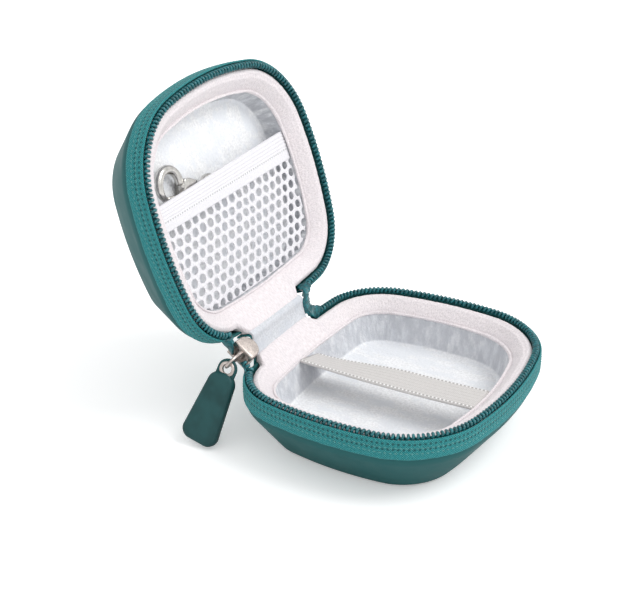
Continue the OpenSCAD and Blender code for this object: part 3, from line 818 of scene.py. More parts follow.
def tape_finish(colours):
    """Twill tape: slanting yarns, light and dark flecks, and needle holes along its stitching, dipped and
    darkened with painted shade.
    """
    f = Finish("woven_zip_tape", colours.tape, 0.72, Sheen_Weight=0.06, Sheen_Roughness=0.5,
               Specular_IOR_Level=0.2)
    u, v = f.cloth_ways()
    weave = f.plus(f.wave(f.plus(u, v), YARN_PITCH), f.wave(f.minus(u, v), YARN_PITCH))
    fleck = f.noise(f.place(source="UV"), 2.6, 3.0, 0.7)
    yarn = f.plus(f.times(weave, 0.12), fleck)
    tone = f.mix(f.spread(yarn, 0.34, 0.5), f.shade(0.42), f.base)
    tone = f.mix(f.spread(yarn, 0.56, 0.8, 0.0, 0.85), tone, tuple(colours.tape_light))
    near = f.times(f.minus(f.math("FRACT", f.math("DIVIDE", u, TOOTH_PITCH)), 0.5), TOOTH_PITCH)
    hole = None
    for row in STITCH_ROWS:
        across = f.minus(v, TAPE_H - row)
        far = f.math("SQRT", f.plus(f.times(across, across), f.times(near, near)))
        spot = f.spread(far, 0.22, 0.45, 1.0, 0.0)
        hole = spot if hole is None else f.math("MAXIMUM", hole, spot)
    # Painted shade: the needle holes are darkened nearly to black, as well as dipped in the bump
    f.set("Base Color", f.mix(f.times(hole, 0.65), tone, f.shade(0.16)))
    return f.relief(f.minus(yarn, hole), 0.16)


def coil_finish(colours):
    f = Finish("nylon_coil", colours.coil, 0.3, Specular_IOR_Level=0.5, Coat_Weight=0.2, Coat_Roughness=0.2)
    point = f.place()
    f.mottle(f.noise(point, 1.1, 2.0), 0.35, 0.7, 0.75, 1.7)
    return f.relief(f.noise(point, 5.0, 2.0), 0.02)


def thread_finish(colours):
    base = tuple((a + b) / 2 for a, b in zip(colours.tape, colours.tape_light))
    f = Finish("sewing_thread", base, 0.6, Sheen_Weight=0.1)
    twist = f.noise(f.place(), 5.0, 2.0)
    f.mottle(twist, 0.35, 0.65, 0.5, 1.0)
    return f.relief(twist, 0.05)


def elastic_finish(name, base, pitch, stitches=()):
    """Fine woven elastic with rows of white stitches and painted shade in the dips between them; the ribs run
    along the cloth's length.
    """
    f = Finish(name, base, 0.75, Sheen_Weight=0.2, Sheen_Roughness=0.4, Specular_IOR_Level=0.2)
    run, across = f.cloth_ways()
    fleck = f.noise(f.place(source="UV"), 1.8, 3.0, 0.6)
    height = f.plus(f.times(f.wave(across, pitch), 0.16), f.times(f.wave(run, KNIT_PITCH), 0.16))
    height = f.plus(height, fleck)
    tone = f.mix(f.spread(height, 0.1, 0.9), f.shade(0.86), f.shade(1.04))
    for row in stitches:
        lane = f.spread(f.math("ABSOLUTE", f.minus(across, row)), 0.16, 0.34, 1.0, 0.0)
        beat = f.wave(run, STITCH_BEAT)
        # Painted shade: the dip between stitches is darkened, and the raised part is the white thread
        tone = f.mix(f.times(lane, f.spread(beat, 0.0, 0.6, 0.0, 0.55)), tone, f.shade(0.42))
        tone = f.mix(f.times(lane, f.spread(beat, -0.6, 0.0, 0.8, 0.0)), tone, STITCH_WHITE)
        height = f.plus(height, f.times(lane, f.spread(beat, -1.0, 1.0, 0.8, -0.8)))
    f.set("Base Color", tone)
    return f.relief(height, 0.12)


def net_finish(colours):
    """Knitted strands: bright filaments with darker lines and small ladder holes between them."""
    f = Finish("pocket_net", colours.net, 0.6, Sheen_Weight=0.25, Sheen_Roughness=0.4, Specular_IOR_Level=0.3)
    yarn = f.noise(f.place(scale=(3.2, 1, 1)), 1.7, 3.0, 0.65)
    rung = f.noise(f.place(scale=(1, 1, 2.4)), 2.6, 2.0)
    height = f.plus(yarn, f.times(rung, 0.6))
    f.mottle(height, 0.55, 0.95, 0.72, 1.04)
    return f.relief(height, 0.14)


def rubber_finish(colours):
    f = Finish("soft_rubber_pull", colours.rubber, 0.45, Specular_IOR_Level=0.22)
    point = f.place()
    grain = f.noise(point, 9.0, 2.0)
    f.mottle(f.noise(point, 0.18, 2.0), 0.3, 0.7, 0.85, 1.2)
    f.set("Roughness", f.spread(grain, 0.3, 0.7, 0.36, 0.5))
    return f.relief(grain, 0.012)


def metal_finish(name, base, roughness, brushed):
    """Cast or polished metal, with faint wear and handling marks."""
    f = Finish(name, base, roughness, metallic=1.0)
    point = f.place()
    mark = f.noise(f.place(scale=(1, 6, 6)), 1.2, 3.0, 0.6)
    f.mottle(f.noise(point, 0.6, 3.0), 0.3, 0.7, 0.82, 1.08)
    f.set("Roughness", f.spread(mark, 0.3, 0.75, roughness * 0.8, roughness * 1.6))
    return f.relief(f.plus(mark, f.noise(point, 8.0, 2.0)), brushed)


def foam_finish(colours):
    f = Finish("moulded_foam", colours.foam, 0.95)
    cells = f.put("TexVoronoi", {"Vector": f.place(), "Scale": 2.2}).outputs[0]
    f.mottle(cells, 0.0, 0.5, 0.6, 1.15)
    return f.relief(cells, 0.2)


# Zip rows
def tape_height(s):
    """Height of the tape's upper edge, which is turned down along the hinge."""
    run = (s - ROW_FROM) % RIM_LENGTH
    whole = ROW_TO - ROW_FROM
    drop = TAPE_TOP - (HALF_H - 5.0)
    return TAPE_TOP - drop * (1 - eased(min(run, whole - run) / 1.1))


def tape_wave(s):
    """A small uneven wave of the tape's lower edge."""
    angle = 2 * math.pi * s / RIM_LENGTH
    p = Vector((math.cos(angle), math.sin(angle), 0)) * RIM_LENGTH / (2 * math.pi)
    return noise.noise(p / 3.2) + 0.5 * noise.noise(p / 1.1)


def tape_section(wave):
    """The tape's section: outer face, rounded upper edge, inner face and turned lower edge."""
    def section(s):
        low = TAPE_LOW + wave * tape_wave(s)
        top = tape_height(s)
        puff = 0.03 * tape_wave(s * 1.7 + 11)
        line = [(0.10, low), (0.02, low + 0.25)]
        line += [(puff, low + (top - low) * k / 10) for k in range(1, 10)]
        line += [(0.03, top - 0.22), (0.16, top), (0.44, top), (0.57, top - 0.22), (TAPE_T, top - 0.8)]
        return line + [(TAPE_T, low + (top - low) * 0.5), (TAPE_T, low + 0.2), (0.42, low)]
    return section


def straight_coil(turns, wire, steps=12, sides=6):
    """Spins a small circle into a straight coil of oval turns along X, capped at both ends."""
    bm = new_mesh()
    made = bmesh.ops.create_circle(bm, segments=sides, radius=wire, cap_ends=True,
                                   matrix=Matrix.Translation((0, COIL_T / 2 - wire, 0)))
    bmesh.ops.spin(bm, geom=made["verts"] + outer_edges(made["verts"]) + list(bm.faces), cent=(0, 0, 0),
                   axis=(1, 0, 0), dvec=(TOOTH_PITCH / steps, 0, 0), angle=2 * math.pi * turns,
                   steps=turns * steps)
    bm.verts.index_update()
    for v in bm.verts:
        turn = 2 * math.pi * (v.index // sides) / steps
        v.co.x += 0.9 * TOOTH_PITCH / (2 * math.pi) * math.cos(turn)
        v.co.z *= TOOTH_H / COIL_T
    return bm


def lay_on_rim(bm, start):
    """Bends a straight coil onto the outline, from a distance round it."""
    for v in bm.verts:
        flat = rim_point(start + v.co.x, COIL_IN - v.co.y)
        v.co = (flat.x, flat.y, ROW_Z + v.co.z)


def lay_on_path(bm, points, normals, flip):
    """Bends a straight coil onto a path, with its oval's short side along the given normals."""
    sums = runs(points)
    for v in bm.verts:
        s = min(max(v.co.x, 0.0), sums[-1] - 1e-6)
        k = max(i for i in range(len(sums) - 1) if sums[i] <= s)
        f = (s - sums[k]) / (sums[k + 1] - sums[k])
        way = (points[k + 1] - points[k]).normalized()
        out = normals[k].lerp(normals[k + 1], f)
        out = (out - way * out.dot(way)).normalized()
        place = points[k].lerp(points[k + 1], f) + way * (v.co.x - s)
        v.co = place + out * v.co.y + way.cross(out) * (v.co.z * flip)


def row_point(s, lift, home):
    """A point of a row's middle line at a distance round a rim, and the way that faces outwards there."""
    flat = rim_point(s, COIL_IN)
    return (home @ Vector((flat.x, flat.y, ROW_Z + lift)),
            (home.to_3x3() @ rim_arc(s)[2].to_3d()).normalized())


def smooth_row(line, steps):
    """The points and the outward directions of a row, both made smooth."""
    return smooth_path([p for p, _ in line], steps), smooth_path([out for _, out in line], steps)


def row_end(body):
    """The way of a zip row from the rim into the slider's mouth: its points and its outward directions."""
    home, side = (Matrix.Identity(4), -1) if body == "base" else (LID_OPEN, 1)
    line = [row_point(ROW_FROM + ROW_END - ahead, lift, home) for ahead, lift in END_LIFTS]
    out = (AT_SLIDER.to_3x3() @ Vector((0, 0, -1))).normalized()
    return smooth_row(line + [(AT_SLIDER @ Vector((x, side * y, 0)), out) for x, y in MOUTH], 6)


def lid_place(x, y, z):
    """Where a point in the base's own frame lies in the open lid."""
    return tuple(LID_OPEN @ Vector((x, y, z)))


def at_mm(point):
    return tuple(c * MM for c in point)


# Operators
class CaseOperator:
    """What the case's operators share"""

    bl_options = {"REGISTER", "UNDO"}

    @property
    def sizes(self):
        return bpy.context.scene.case_sizes

    @property
    def colours(self):
        return bpy.context.scene.case_colours


class CASE_OT_shells(CaseOperator, bpy.types.Operator):
    """Build the two moulded outer skins and the foam cores inside them"""

    bl_idname = "case.shells"
    bl_label = "Shells"

    def execute(self, context):
        skin, foam = shell_finish(self.colours), foam_finish(self.colours)
        foot = foot_inset()
        line = [(foot, 0.0, share) for share in (0.1, 0.5, 0.9)] + shell_face(0.0, SKIN_TOP - 0.1)
        line += [(TAPE_T + 0.06, SKIN_TOP + 0.1), (TAPE_T + SKIN_T - 0.06, SKIN_TOP + 0.1)]
        line += shell_face(SKIN_T, SKIN_TOP - 0.1)[::-1]
        line += [(foot, SKIN_T, share) for share in (0.9, 0.5, 0.1)]
        low, high = SKIN_T + 0.02, ROLL_SEAT - 0.02
        for body, depth, turn in HALVES:
            bm = sweep_rim(new_mesh(), SHELL_CUTS, lambda s: line)
            cap_ends(bm)
            hold(finish_piece(bm, body + "_shell", skin, turn), body, body + "_outer_skin")
            cavity = cavity_face(depth, LINING_T + 0.03)
            core = [(foot, low, 0.1), (foot, low, 0.9)] + shell_face(SKIN_T + 0.03, high)
            core += [(cavity[0][0], high)] + cavity[1:] + [(*cavity[-1], 0.9), (*cavity[-1], 0.1)]
            bm = sweep_rim(new_mesh(), CORE_CUTS, lambda s: core)
            cap_ends(bm)
            made = hold(finish_piece(bm, body + "_foam", foam, turn), body, body + "_foam_core")
        return {"FINISHED"}


class CASE_OT_linings(CaseOperator, bpy.types.Operator):
    """Build the brushed plush linings of both cavities"""

    bl_idname = "case.linings"
    bl_label = "Linings"

    def execute(self, context):
        nap = self.sizes.nap / MM
        for body, depth, turn in HALVES:
            back, face = cavity_face(depth, LINING_T), cavity_face(depth, 0.0, 12)
            line = [(*back[-1], 0.05), (*back[-1], 0.6)] + back[::-1]
            line += [(inset, ROLL_SEAT + lift) for inset, lift in LINING_LIP] + [face[0]]
            line += between(face[0], face[1], 12)[:-1] + face[1:]
            line += [(*face[-1], 1 - k / 44) for k in range(1, 44)]
            bm = sweep_rim(new_mesh(), LINING_CUTS, lambda s: line)
            cap_ends(bm)
            map_by_length(bm)
            reach = sum(math.hypot(q[0] - p[0], q[1] - p[1]) for p, q in zip(line, line[1:]))
            # Painted shade: the base's lining is made a little darker than the lid's, and each lining's walls
            # get their own shade
            light, wall_shade = LINING_PAINTED_SHADE[body]
            base = tinted(self.colours.lining, (light, light, light, 1.0))
            finish = plush_finish(body + "_brushed_plush_painted_shade", base, 0.7, 0.8, wall=reach - 1.2, wall_shade=wall_shade)
            bmesh.ops.recalc_face_normals(bm, faces=bm.faces)
            floor = HALF_H - depth
            tuft_mesh(bm, nap, 0.9, lambda v: 1.0 if v.normal.z > 0.05 or v.co.z > floor + 0.5 else 0.0)
            for v in bm.verts:
                if v.co.z > floor - 0.4 and v.normal.z > 0.2:
                    v.co.z += 0.22 * noise.noise(v.co / 7.0) * min(1.0, (v.co.z - floor + 1.2))
            made = finish_piece(bm, body + "_lining_plush", finish, turn)
            hold(made, body, body + "_lining")
        return {"FINISHED"}


class CASE_OT_rolls(CaseOperator, bpy.types.Operator):
    """Build the padded plush rolls round both rims"""

    bl_idname = "case.rolls"
    bl_label = "Rim rolls"

    def execute(self, context):
        finish = plush_finish("rim_roll_plush", self.colours.roll, 0.5, 0.2, lay=(1, 0.6, 1), source="UV")
        for body, _, turn in HALVES:
            bm = sweep_rim(new_mesh(), ROLL_CUTS, roll_section, closed=True)
            map_by_length(bm)
            made = finish_piece(bm, body + "_roll_plush", finish)
            swell(made, self.sizes.swell)
            bm = bmesh.new()
            bm.from_mesh(made.data)
            bm.transform(Matrix.Scale(1 / MM, 4))
            bmesh.ops.subdivide_edges(bm, edges=bm.edges, cuts=1, smooth=0.6, use_grid_fill=True)
            tuft_mesh(bm, self.sizes.tuft / MM, 0.75)
            if turn is not None:
                bm.transform(turn)
                bmesh.ops.recalc_face_normals(bm, faces=bm.faces)
            bm.transform(Matrix.Scale(MM, 4))
            bm.to_mesh(made.data)
            bm.free()
            for face in made.data.polygons:
                face.use_smooth = True
            hold(made, body, body + "_rim_roll")
        return {"FINISHED"}


class CASE_OT_tapes(CaseOperator, bpy.types.Operator):
    """Build the woven zip tapes and their rows of stitches"""

    bl_idname = "case.tapes"
    bl_label = "Zip tapes"

    def execute(self, context):
        finish, thread = tape_finish(self.colours), thread_finish(self.colours)
        section = tape_section(self.sizes.wave / MM)
        shape = Matrix.Diagonal((self.sizes.stitch / MM / 2, 0.11, 0.2, 1))
        first = math.floor((ROW_FROM + 2) / TOOTH_PITCH)
        count = int((ROW_TO - ROW_FROM - 3) / TOOTH_PITCH)
        for body, _, turn in HALVES:
            bm = sweep_rim(new_mesh(), TAPE_CUTS, section, closed=True)
            map_by_length(bm)
            hold(finish_piece(bm, body + "_tape", finish, turn), body, body + "_zip_tape")
            bm = new_mesh()
            for row in STITCH_ROWS:
                for k in range(count):
                    s = (first + k) * TOOTH_PITCH + TOOTH_PITCH
                    flat, ahead = rim_point(s, -0.02), rim_point(s + 0.1, -0.02)
                    place = Matrix.Translation((flat.x, flat.y, TAPE_TOP - row))
                    place = place @ Matrix.Rotation(bearing(ahead - flat), 4, "Z")
                    place = place @ Matrix.Rotation(0.25, 4, "Y") @ shape
                    bmesh.ops.create_uvsphere(bm, u_segments=6, v_segments=4, radius=1.0, matrix=place)
            hold(finish_piece(bm, body + "_tape_stitches", thread, turn, tidy=False), body)
        return {"FINISHED"}


class CASE_OT_coils(CaseOperator, bpy.types.Operator):
    """Build the two nylon coils that are the zip's teeth, and their ends in the slider"""

    bl_idname = "case.coils"
    bl_label = "Zip coils"

    def execute(self, context):
        finish = coil_finish(self.colours)
        wire = self.sizes.wire / MM
        turns = int((ROW_TO - ROW_FROM - 2 * ROW_END) / TOOTH_PITCH)
        for (body, _, turn), phase, heads in zip(HALVES, (0.0, 0.5), (1.0, -1.0)):
            bm = straight_coil(turns, wire)
            lay_on_rim(bm, ROW_FROM + ROW_END + phase * TOOTH_PITCH)
            made = finish_piece(bm, body + "_coil", finish, turn, tidy=False)
            hold(made, body, body + "_zip_teeth")
            path, outs = row_end(body)
            bm = straight_coil(END_TURNS, wire)
            lay_on_path(bm, path, outs, heads)
            self.end_piece(finish_piece(bm, body + "_coil_end", finish, tidy=False), body, "teeth")
            path, outs = path[:-END_SHORT], outs[:-END_SHORT]
            ways = [path[min(k + 1, len(path) - 1)] - path[max(k - 1, 0)] for k in range(len(path))]
            shift = [out * END_OUT - way.normalized().cross(out) * (heads * END_DOWN)
                     for way, out in zip(ways, outs)]
            made = swept(body + "_tape_end", finish, [p + d for p, d in zip(path, shift)],
                         flat_section(END_W, TAPE_T, 0.2), up=lambda j: outs[j], tidy=False)
            self.end_piece(made, body, "tape")
        return {"FINISHED"}

    def end_piece(self, made, body, slot):
        """A row's end, which bends from its rim to the slider, where it moves as the slider does."""
        bend(made, (ROW_LEFT, HINGE_Y, HINGE_Z), (2 * SLIDER_AT[0] - ROW_LEFT, HINGE_Y, HINGE_Z), slot,
             "lid" if body == "base" else "base", body)


class CASE_OT_hinge(CaseOperator, bpy.types.Operator):
    """Build the cloth strips that join base and lid"""

    bl_idname = "case.hinge"
    bl_label = "Hinge strips"

    def strip(self, name, line, thick, finish, node, slot, tuft, rests_on):
        """A strip along a line of points from the base to the lid, as wide as the hinge."""
        path = smooth_path(line, 8)
        middle = (STRIP_LEFT + STRIP_RIGHT) / 2
        section = fine_section(STRIP_RIGHT - STRIP_LEFT, thick, thick * 0.4, 40)
        bm = new_mesh()
        sweep_path(bm, [(middle, p.y, p.z) for p in path], section, up=lambda j: self.lift(path, j))
        bmesh.ops.recalc_face_normals(bm, faces=bm.faces)
        map_sweep(bm, turned=True)
        tuft_mesh(bm, tuft, 0.8)
        made = finish_piece(bm, name, finish)
        bend(made, (middle, *line[1][1:]), (middle, *line[-2][1:]), slot)
        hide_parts(node)

    def lift(self, path, j):
        way = (path[min(j + 1, len(path) - 1)] - path[max(j - 1, 0)]).normalized()
        return Vector((1, 0, 0)).cross(way)

    def execute(self, context):
        y = CASE_D / 2 + SEAT + 0.3
        low, high = TAPE_LOW + 1.4, HALF_H - 0.8
        line = [(0, y, low), (0, y, high), lid_place(0, y, high), lid_place(0, y, low)]
        self.strip("hinge_gusset_cloth", line, 0.6, tape_finish(self.colours), "hinge_gusset", "tape", 0.05,
                   ["base_tape", "lid_tape"])
        y = CASE_D / 2 - ROLL_IN + 1.7
        low, high = HALF_H - 2.1, HALF_H + 0.05
        line = [(0, y, low), (0, y + 1.15, high), STRIP_TOP, lid_place(0, y + 1.15, high),
                lid_place(0, y, low)]
        # Painted shade: the hinge strip is the lining darkened, for the shade between the two rolls
        shaded_lining = tinted(self.colours.lining, STRIP_SHADE)
        self.strip("hinge_plush_strip", line, 0.8, plush_finish("hinge_strip_shaded_plush", shaded_lining, 0.6, 0.6),
                   "hinge_plush", "lining", 0.16, ["base_roll_plush", "lid_roll_plush"])
        return {"FINISHED"}


class CASE_OT_strap(CaseOperator, bpy.types.Operator):
    """Build the elastic strap across the base"""

    bl_idname = "case.strap"
    bl_label = "Strap"

    def execute(self, context):
        finish = elastic_finish("strap_elastic", self.colours.strap, 0.8,
                                (STRAP_W / 2 - 0.55, 0.55 - STRAP_W / 2))
        inset = CAVITY_IN + (ROLL_SEAT - (HALF_H - STRAP_DEPTH - STRAP_T)) * math.tan(CAVITY_LEAN) + SEAT
        edge = max(abs(STRAP_LEFT), abs(STRAP_LEFT + STRAP_W))
        far, near = (CASE_D / 2 - inset - (bow - math.sqrt(bow ** 2 - edge ** 2))
                     for bow in (BACK_BOW, FRONT_BOW))
        middle, height = STRAP_LEFT + STRAP_W / 2, HALF_H - STRAP_DEPTH - STRAP_T / 2
        path = [(middle, -near + (far + near) * k / 60,
                 height - 0.5 * STRAP_SAG * math.sin(math.pi * k / 60)) for k in range(61)]
        ribs = [(a, b + (0.05 if b > 0 else -0.05) * math.sin(2 * math.pi * a / STRAP_RIB))
                for a, b in fine_section(STRAP_W, STRAP_T, 0.3, 26)]
        bm = new_mesh()
        sweep_path(bm, path, ribs)
        map_sweep(bm)
        for v in bm.verts:
            v.co.z -= STRAP_DROP * (v.co.x - STRAP_LEFT) / STRAP_W * eased((v.co.y + 4) / (far + 4))
        made = finish_piece(bm, "divider_strap_elastic", finish)
        hold(made, "base", "divider_strap")
        return {"FINISHED"}


def band_relief(a):
    """How far the band's face stands out at a place across it: a sewn seam, with ribs on one side."""
    seam = -SEAM_DEEP * math.exp(-((a - SEAM_AT) / SEAM_W) ** 2)
    return seam if a < SEAM_AT else 0.1 * math.sin(2 * math.pi * (a - SEAM_AT) / BAND_RIB) + seam


def trim(bm, point, way):
    """Cuts away what lies beyond a plane."""
    bmesh.ops.bisect_plane(bm, geom=[*bm.verts, *bm.edges, *bm.faces], dist=0.001, plane_co=point,
                           plane_no=way, clear_outer=True)


class CASE_OT_pocket(CaseOperator, bpy.types.Operator):
    """Build the lid's pocket: a net under an elastic band"""

    bl_idname = "case.pocket"
    bl_label = "Pocket"

    def execute(self, context):
        finish = elastic_finish("band_elastic", self.colours.band, 0.36, (SEAM_AT,))
        inset = CAVITY_IN + BAND_T * math.tan(CAVITY_LEAN) + SEAT
        y_mid = CASE_D / 2 - POCKET_TOP + BAND_H / 2
        half = rim_width(y_mid, inset)
        path = [(x, y_mid, ROLL_SEAT - SEAT - BAND_T / 2) for x in spaced(-half, half, 80)]
        ribs = [(a, b + band_relief(a) if b > 0 and abs(a) < BAND_H / 2 - 0.4 else b)
                for a, b in fine_section(BAND_H, BAND_T, 0.35, 44)]
        bm = new_mesh()
        sweep_path(bm, path, ribs)
        map_sweep(bm)
        along = run_layers(bm)[1]
        for v in bm.verts:
            v.co.y += BAND_DIP * max(0.0, (v[along] + BAND_H / 2) / BAND_H) * held(0.55 - v.co.x / (2 * half))
        band = hold(finish_piece(bm, "pocket_band_elastic", finish, LID_OPEN), "lid", "pocket_band")
        net = hold(self.net(inset), "lid", "pocket_net")
        return {"FINISHED"}

    def net(self, inset):
        """Hexagons laid side by side, each with its hole, trimmed to the pocket's outline."""
        bm = new_mesh()
        top = CASE_D / 2 - POCKET_TOP + BAND_H - SEAT
        bottom = CASE_D / 2 - inset
        half, low, high = HOLE_PITCH / 2, HOLE_SIDE, HOLE_ROW - HOLE_SIDE
        corners = ((0, high), (-half, low), (-half, -low), (0, -high), (half, -low), (half, low))
        for j in range(-1, int((bottom - top) / HOLE_ROW) + 2):
            for i in range(-10, 11):
                x, y = (i + (j % 2) / 2) * HOLE_PITCH, top + 1.2 + j * HOLE_ROW
                cell = bmesh.ops.create_circle(bm, segments=6, radius=1.0, cap_ends=True)["verts"]
                for v, (px, py) in zip(cell, corners):
                    v.co = (x + px, y + py, 0)
        bmesh.ops.remove_doubles(bm, verts=bm.verts, dist=0.05)
        cells = list(bm.faces)
        bmesh.ops.inset_individual(bm, faces=cells, thickness=NET_RING, use_even_offset=True)
        bmesh.ops.delete(bm, geom=cells, context="FACES_ONLY")
        edge = [rim_point(s, inset) for s in spaced(0, RIM_LENGTH, NET_EDGES)[:-1]]
        for a, b in zip(edge, edge[1:] + edge[:1]):
            trim(bm, (a.x, a.y, 0), ((b - a).y, -(b - a).x, 0))
        trim(bm, (0, top, 0), (0, -1, 0))
        bmesh.ops.delete(bm, geom=[v for v in bm.verts if not v.link_faces], context="VERTS")
        bmesh.ops.subdivide_edges(bm, edges=bm.edges, cuts=1, smooth=0.9)
        bmesh.ops.recalc_face_normals(bm, faces=bm.faces)
        bmesh.ops.solidify(bm, geom=list(bm.faces), thickness=NET_T * 0.75)
        billow = self.sizes.billow / MM
        for v in bm.verts:
            free = min(1.0, (v.co.y - top) / 2.5, (bottom - v.co.y) / 2.5)
            pull = Vector((noise.noise(v.co / 6.5), noise.noise(v.co / 5.5 + Vector((9, 4, 2))), 0))
            v.co += pull * max(0.0, free) * NET_PULL
            full = math.sin(math.pi * held((v.co.y - top) / (bottom - top))) * math.cos(v.co.x / 44)
            v.co.z += ROLL_SEAT - SEAT - NET_T / 2 + billow * full * (0.8 + 0.5 * noise.noise(v.co / 9))
        made = finish_piece(bm, "pocket_net_cloth", net_finish(self.colours), LID_OPEN)
        strands = made.modifiers.new("rounded_strands", "SUBSURF")
        strands.levels = 1
        strands.render_levels = 1
        return made


class CASE_OT_slider(CaseOperator, bpy.types.Operator):
    """Build the slider, its bail, the metal eyelet and the rubber pull"""

    bl_idname = "case.slider"
    bl_label = "Slider and pull"

    def plate(self, bm, low, high, crown):
        """A plate with a straight mouth and a round end, bevelled round its edges."""
        r = PLATE_W / 2
        spun = bm.verts.new((PLATE_L - r, -r, low))
        made = bmesh.ops.spin(bm, geom=[spun], cent=(PLATE_L - r, 0, low), axis=(0, 0, 1), dvec=(0, 0, 0),
                              angle=math.pi, steps=20)
        line = [new_verts(made["geom_last"])[0], bm.verts.new((0, r, low)), bm.verts.new((0, -r, low)), spun]
        for a, b in zip(line, line[1:]):
            bm.edges.new((a, b))
        loose = [e for e in bm.edges if not e.link_faces]
        face = bmesh.ops.contextual_create(bm, geom=loose)["faces"][0]
        top = bmesh.ops.extrude_face_region(bm, geom=[face])["geom"]
        bmesh.ops.translate(bm, verts=new_verts(top), vec=(0, 0, high - low))
        shaped = [v for v in bm.verts if v.link_faces and low - 0.01 < v.co.z < high + 0.01]
        rim = [e for e in outer_edges(shaped) if abs(e.verts[0].co.z - e.verts[1].co.z) < 0.01
               and len(e.link_faces) == 2 and abs(e.calc_face_angle()) > 1.0
               and (abs(e.verts[0].co.z - high) < 0.01) == crown]
        bmesh.ops.bevel(bm, geom=rim, offset=0.42, segments=4, profile=0.5, affect="EDGES", material=-1,
                        clamp_overlap=True)

    def rails(self, bm, low, high):
        """The two turned-in edges of a plate, which hold the rows between them."""
        r = PLATE_W / 2 - 0.4
        z = (low + high) / 2
        for side in (-1, 1):
            path = [(0.15, side * r, z)]
            path += [(PLATE_L - PLATE_W / 2 + r * math.sin(t), side * r * math.cos(t), z)
                     for t in spaced(0, math.radians(58), 8)]
            sweep_path(bm, path, flat_section(0.8, high - low, 0.18, 2))

    def execute(self, context):
        metal = metal_finish("cast_slider_metal", self.colours.slider, 0.3, 0.03)
        bm = new_mesh()
        half = PLATE_GAP / 2
        self.plate(bm, half, half + PLATE_T, True)
        self.plate(bm, -half - PLATE_T, -half, False)
        self.rails(bm, half - 0.75, half + 0.1)
        self.rails(bm, -half - 0.1, 0.75 - half)
        bmesh.ops.create_cone(bm, segments=24, radius1=WEDGE_R, radius2=WEDGE_R, depth=PLATE_GAP + 0.2,
                              cap_ends=True, matrix=Matrix.Translation((WEDGE_R, 0, 0)))
        made = finish_piece(bm, "slider_plates", metal, AT_SLIDER, tidy=False)
        made.data.set_sharp_from_angle(angle=math.radians(38))
        hold(made, "slider", "slider_body")
        path = smooth_path([(x, 0, z) for x, z in BAIL_LINE], 6)
        made = swept("slider_bail", metal, path, flat_section(BAIL_W + 0.5, BAIL_T, 0.32), up=(0, 1, 0.001),
                     matrix=AT_SLIDER)
        hold(made, "slider", "slider_bridge")
        self.pull()
        return {"FINISHED"}

    def ring(self, radius):
        """Points of a circle round the eyelet's middle."""
        return [(0, y, z) for y, z in curve(0, -EYELET_R, radius, 0, 2 * math.pi, 48)[:-1]]

    def ear(self, k):
        """The rubber ear's section round the eyelet, at one of its steps."""
        t = 2 * math.pi * k / 48
        wide = EAR_R
        if math.sin(t) < 0:
            wide = min(EAR_R / max(abs(math.cos(t)), 0.01), EAR_R / abs(math.sin(t)) + 0.2)
        w = wide - EYELET_R - 0.15
        half = [(0.0, 0.4), (w - 0.3, 0.48), (w - 0.09, 0.4), (w, 0.2)]
        return half + [(p, -q) for p, q in half[::-1]]

    def pull(self):
        """The metal eyelet, and the rubber grip with the ear that holds it."""
        metal = metal_finish("eyelet_metal", self.colours.slider, 0.24, 0.02)
        made = swept("pull_metal_eyelet", metal, self.ring(EYELET_R), flat_section(2 * LINK_R, 1.2, 0.42),
                     up=(1, 0, 0), closed=True, matrix=AT_PULL)
        hold(made, "pull", "pull_link")
        bm = new_mesh()
        r_low, r_top = GRIP_W * 0.27, GRIP_NECK * 0.4
        foot, neck = 2.2 - LINK_L - GRIP_L + r_low, 2.2 - LINK_L - r_top
        outline = []
        for y, z, r, first, last in ((GRIP_W / 2 - r_low, foot, r_low, -90, -4),
                                     (GRIP_NECK / 2 - r_top, neck, r_top, 2, 90),
                                     (r_top - GRIP_NECK / 2, neck, r_top, 90, 178),
                                     (r_low - GRIP_W / 2, foot, r_low, 184, 270)):
            outline += curve(y, z, r, math.radians(first), math.radians(last), 10)
        verts = [bm.verts.new((-GRIP_T / 2, y, z)) for y, z in outline]
        face = bmesh.ops.contextual_create(bm, geom=verts)["faces"][0]
        grown = new_verts(bmesh.ops.extrude_face_region(bm, geom=[face])["geom"])
        bmesh.ops.translate(bm, verts=grown, vec=(GRIP_T, 0, 0))
        bmesh.ops.remove_doubles(bm, verts=bm.verts, dist=0.02)
        bmesh.ops.recalc_face_normals(bm, faces=bm.faces)
        rim = [e for e in bm.edges if abs(e.verts[0].co.x - e.verts[1].co.x) < 0.01]
        bmesh.ops.bevel(bm, geom=rim, offset=1.0, segments=5, profile=0.5, affect="EDGES", material=-1)
        flats = [f for f in bm.faces if len(f.verts) > 20]
        bmesh.ops.inset_region(bm, faces=flats, thickness=0.35, depth=0.0)
        sweep_path(bm, self.ring(EYELET_R + 0.15), self.ear, up=(1, 0, 0), closed=True)
        made = finish_piece(bm, "pull_rubber_grip", rubber_finish(self.colours), AT_PULL)
        hold(made, "pull", "pull_grip")


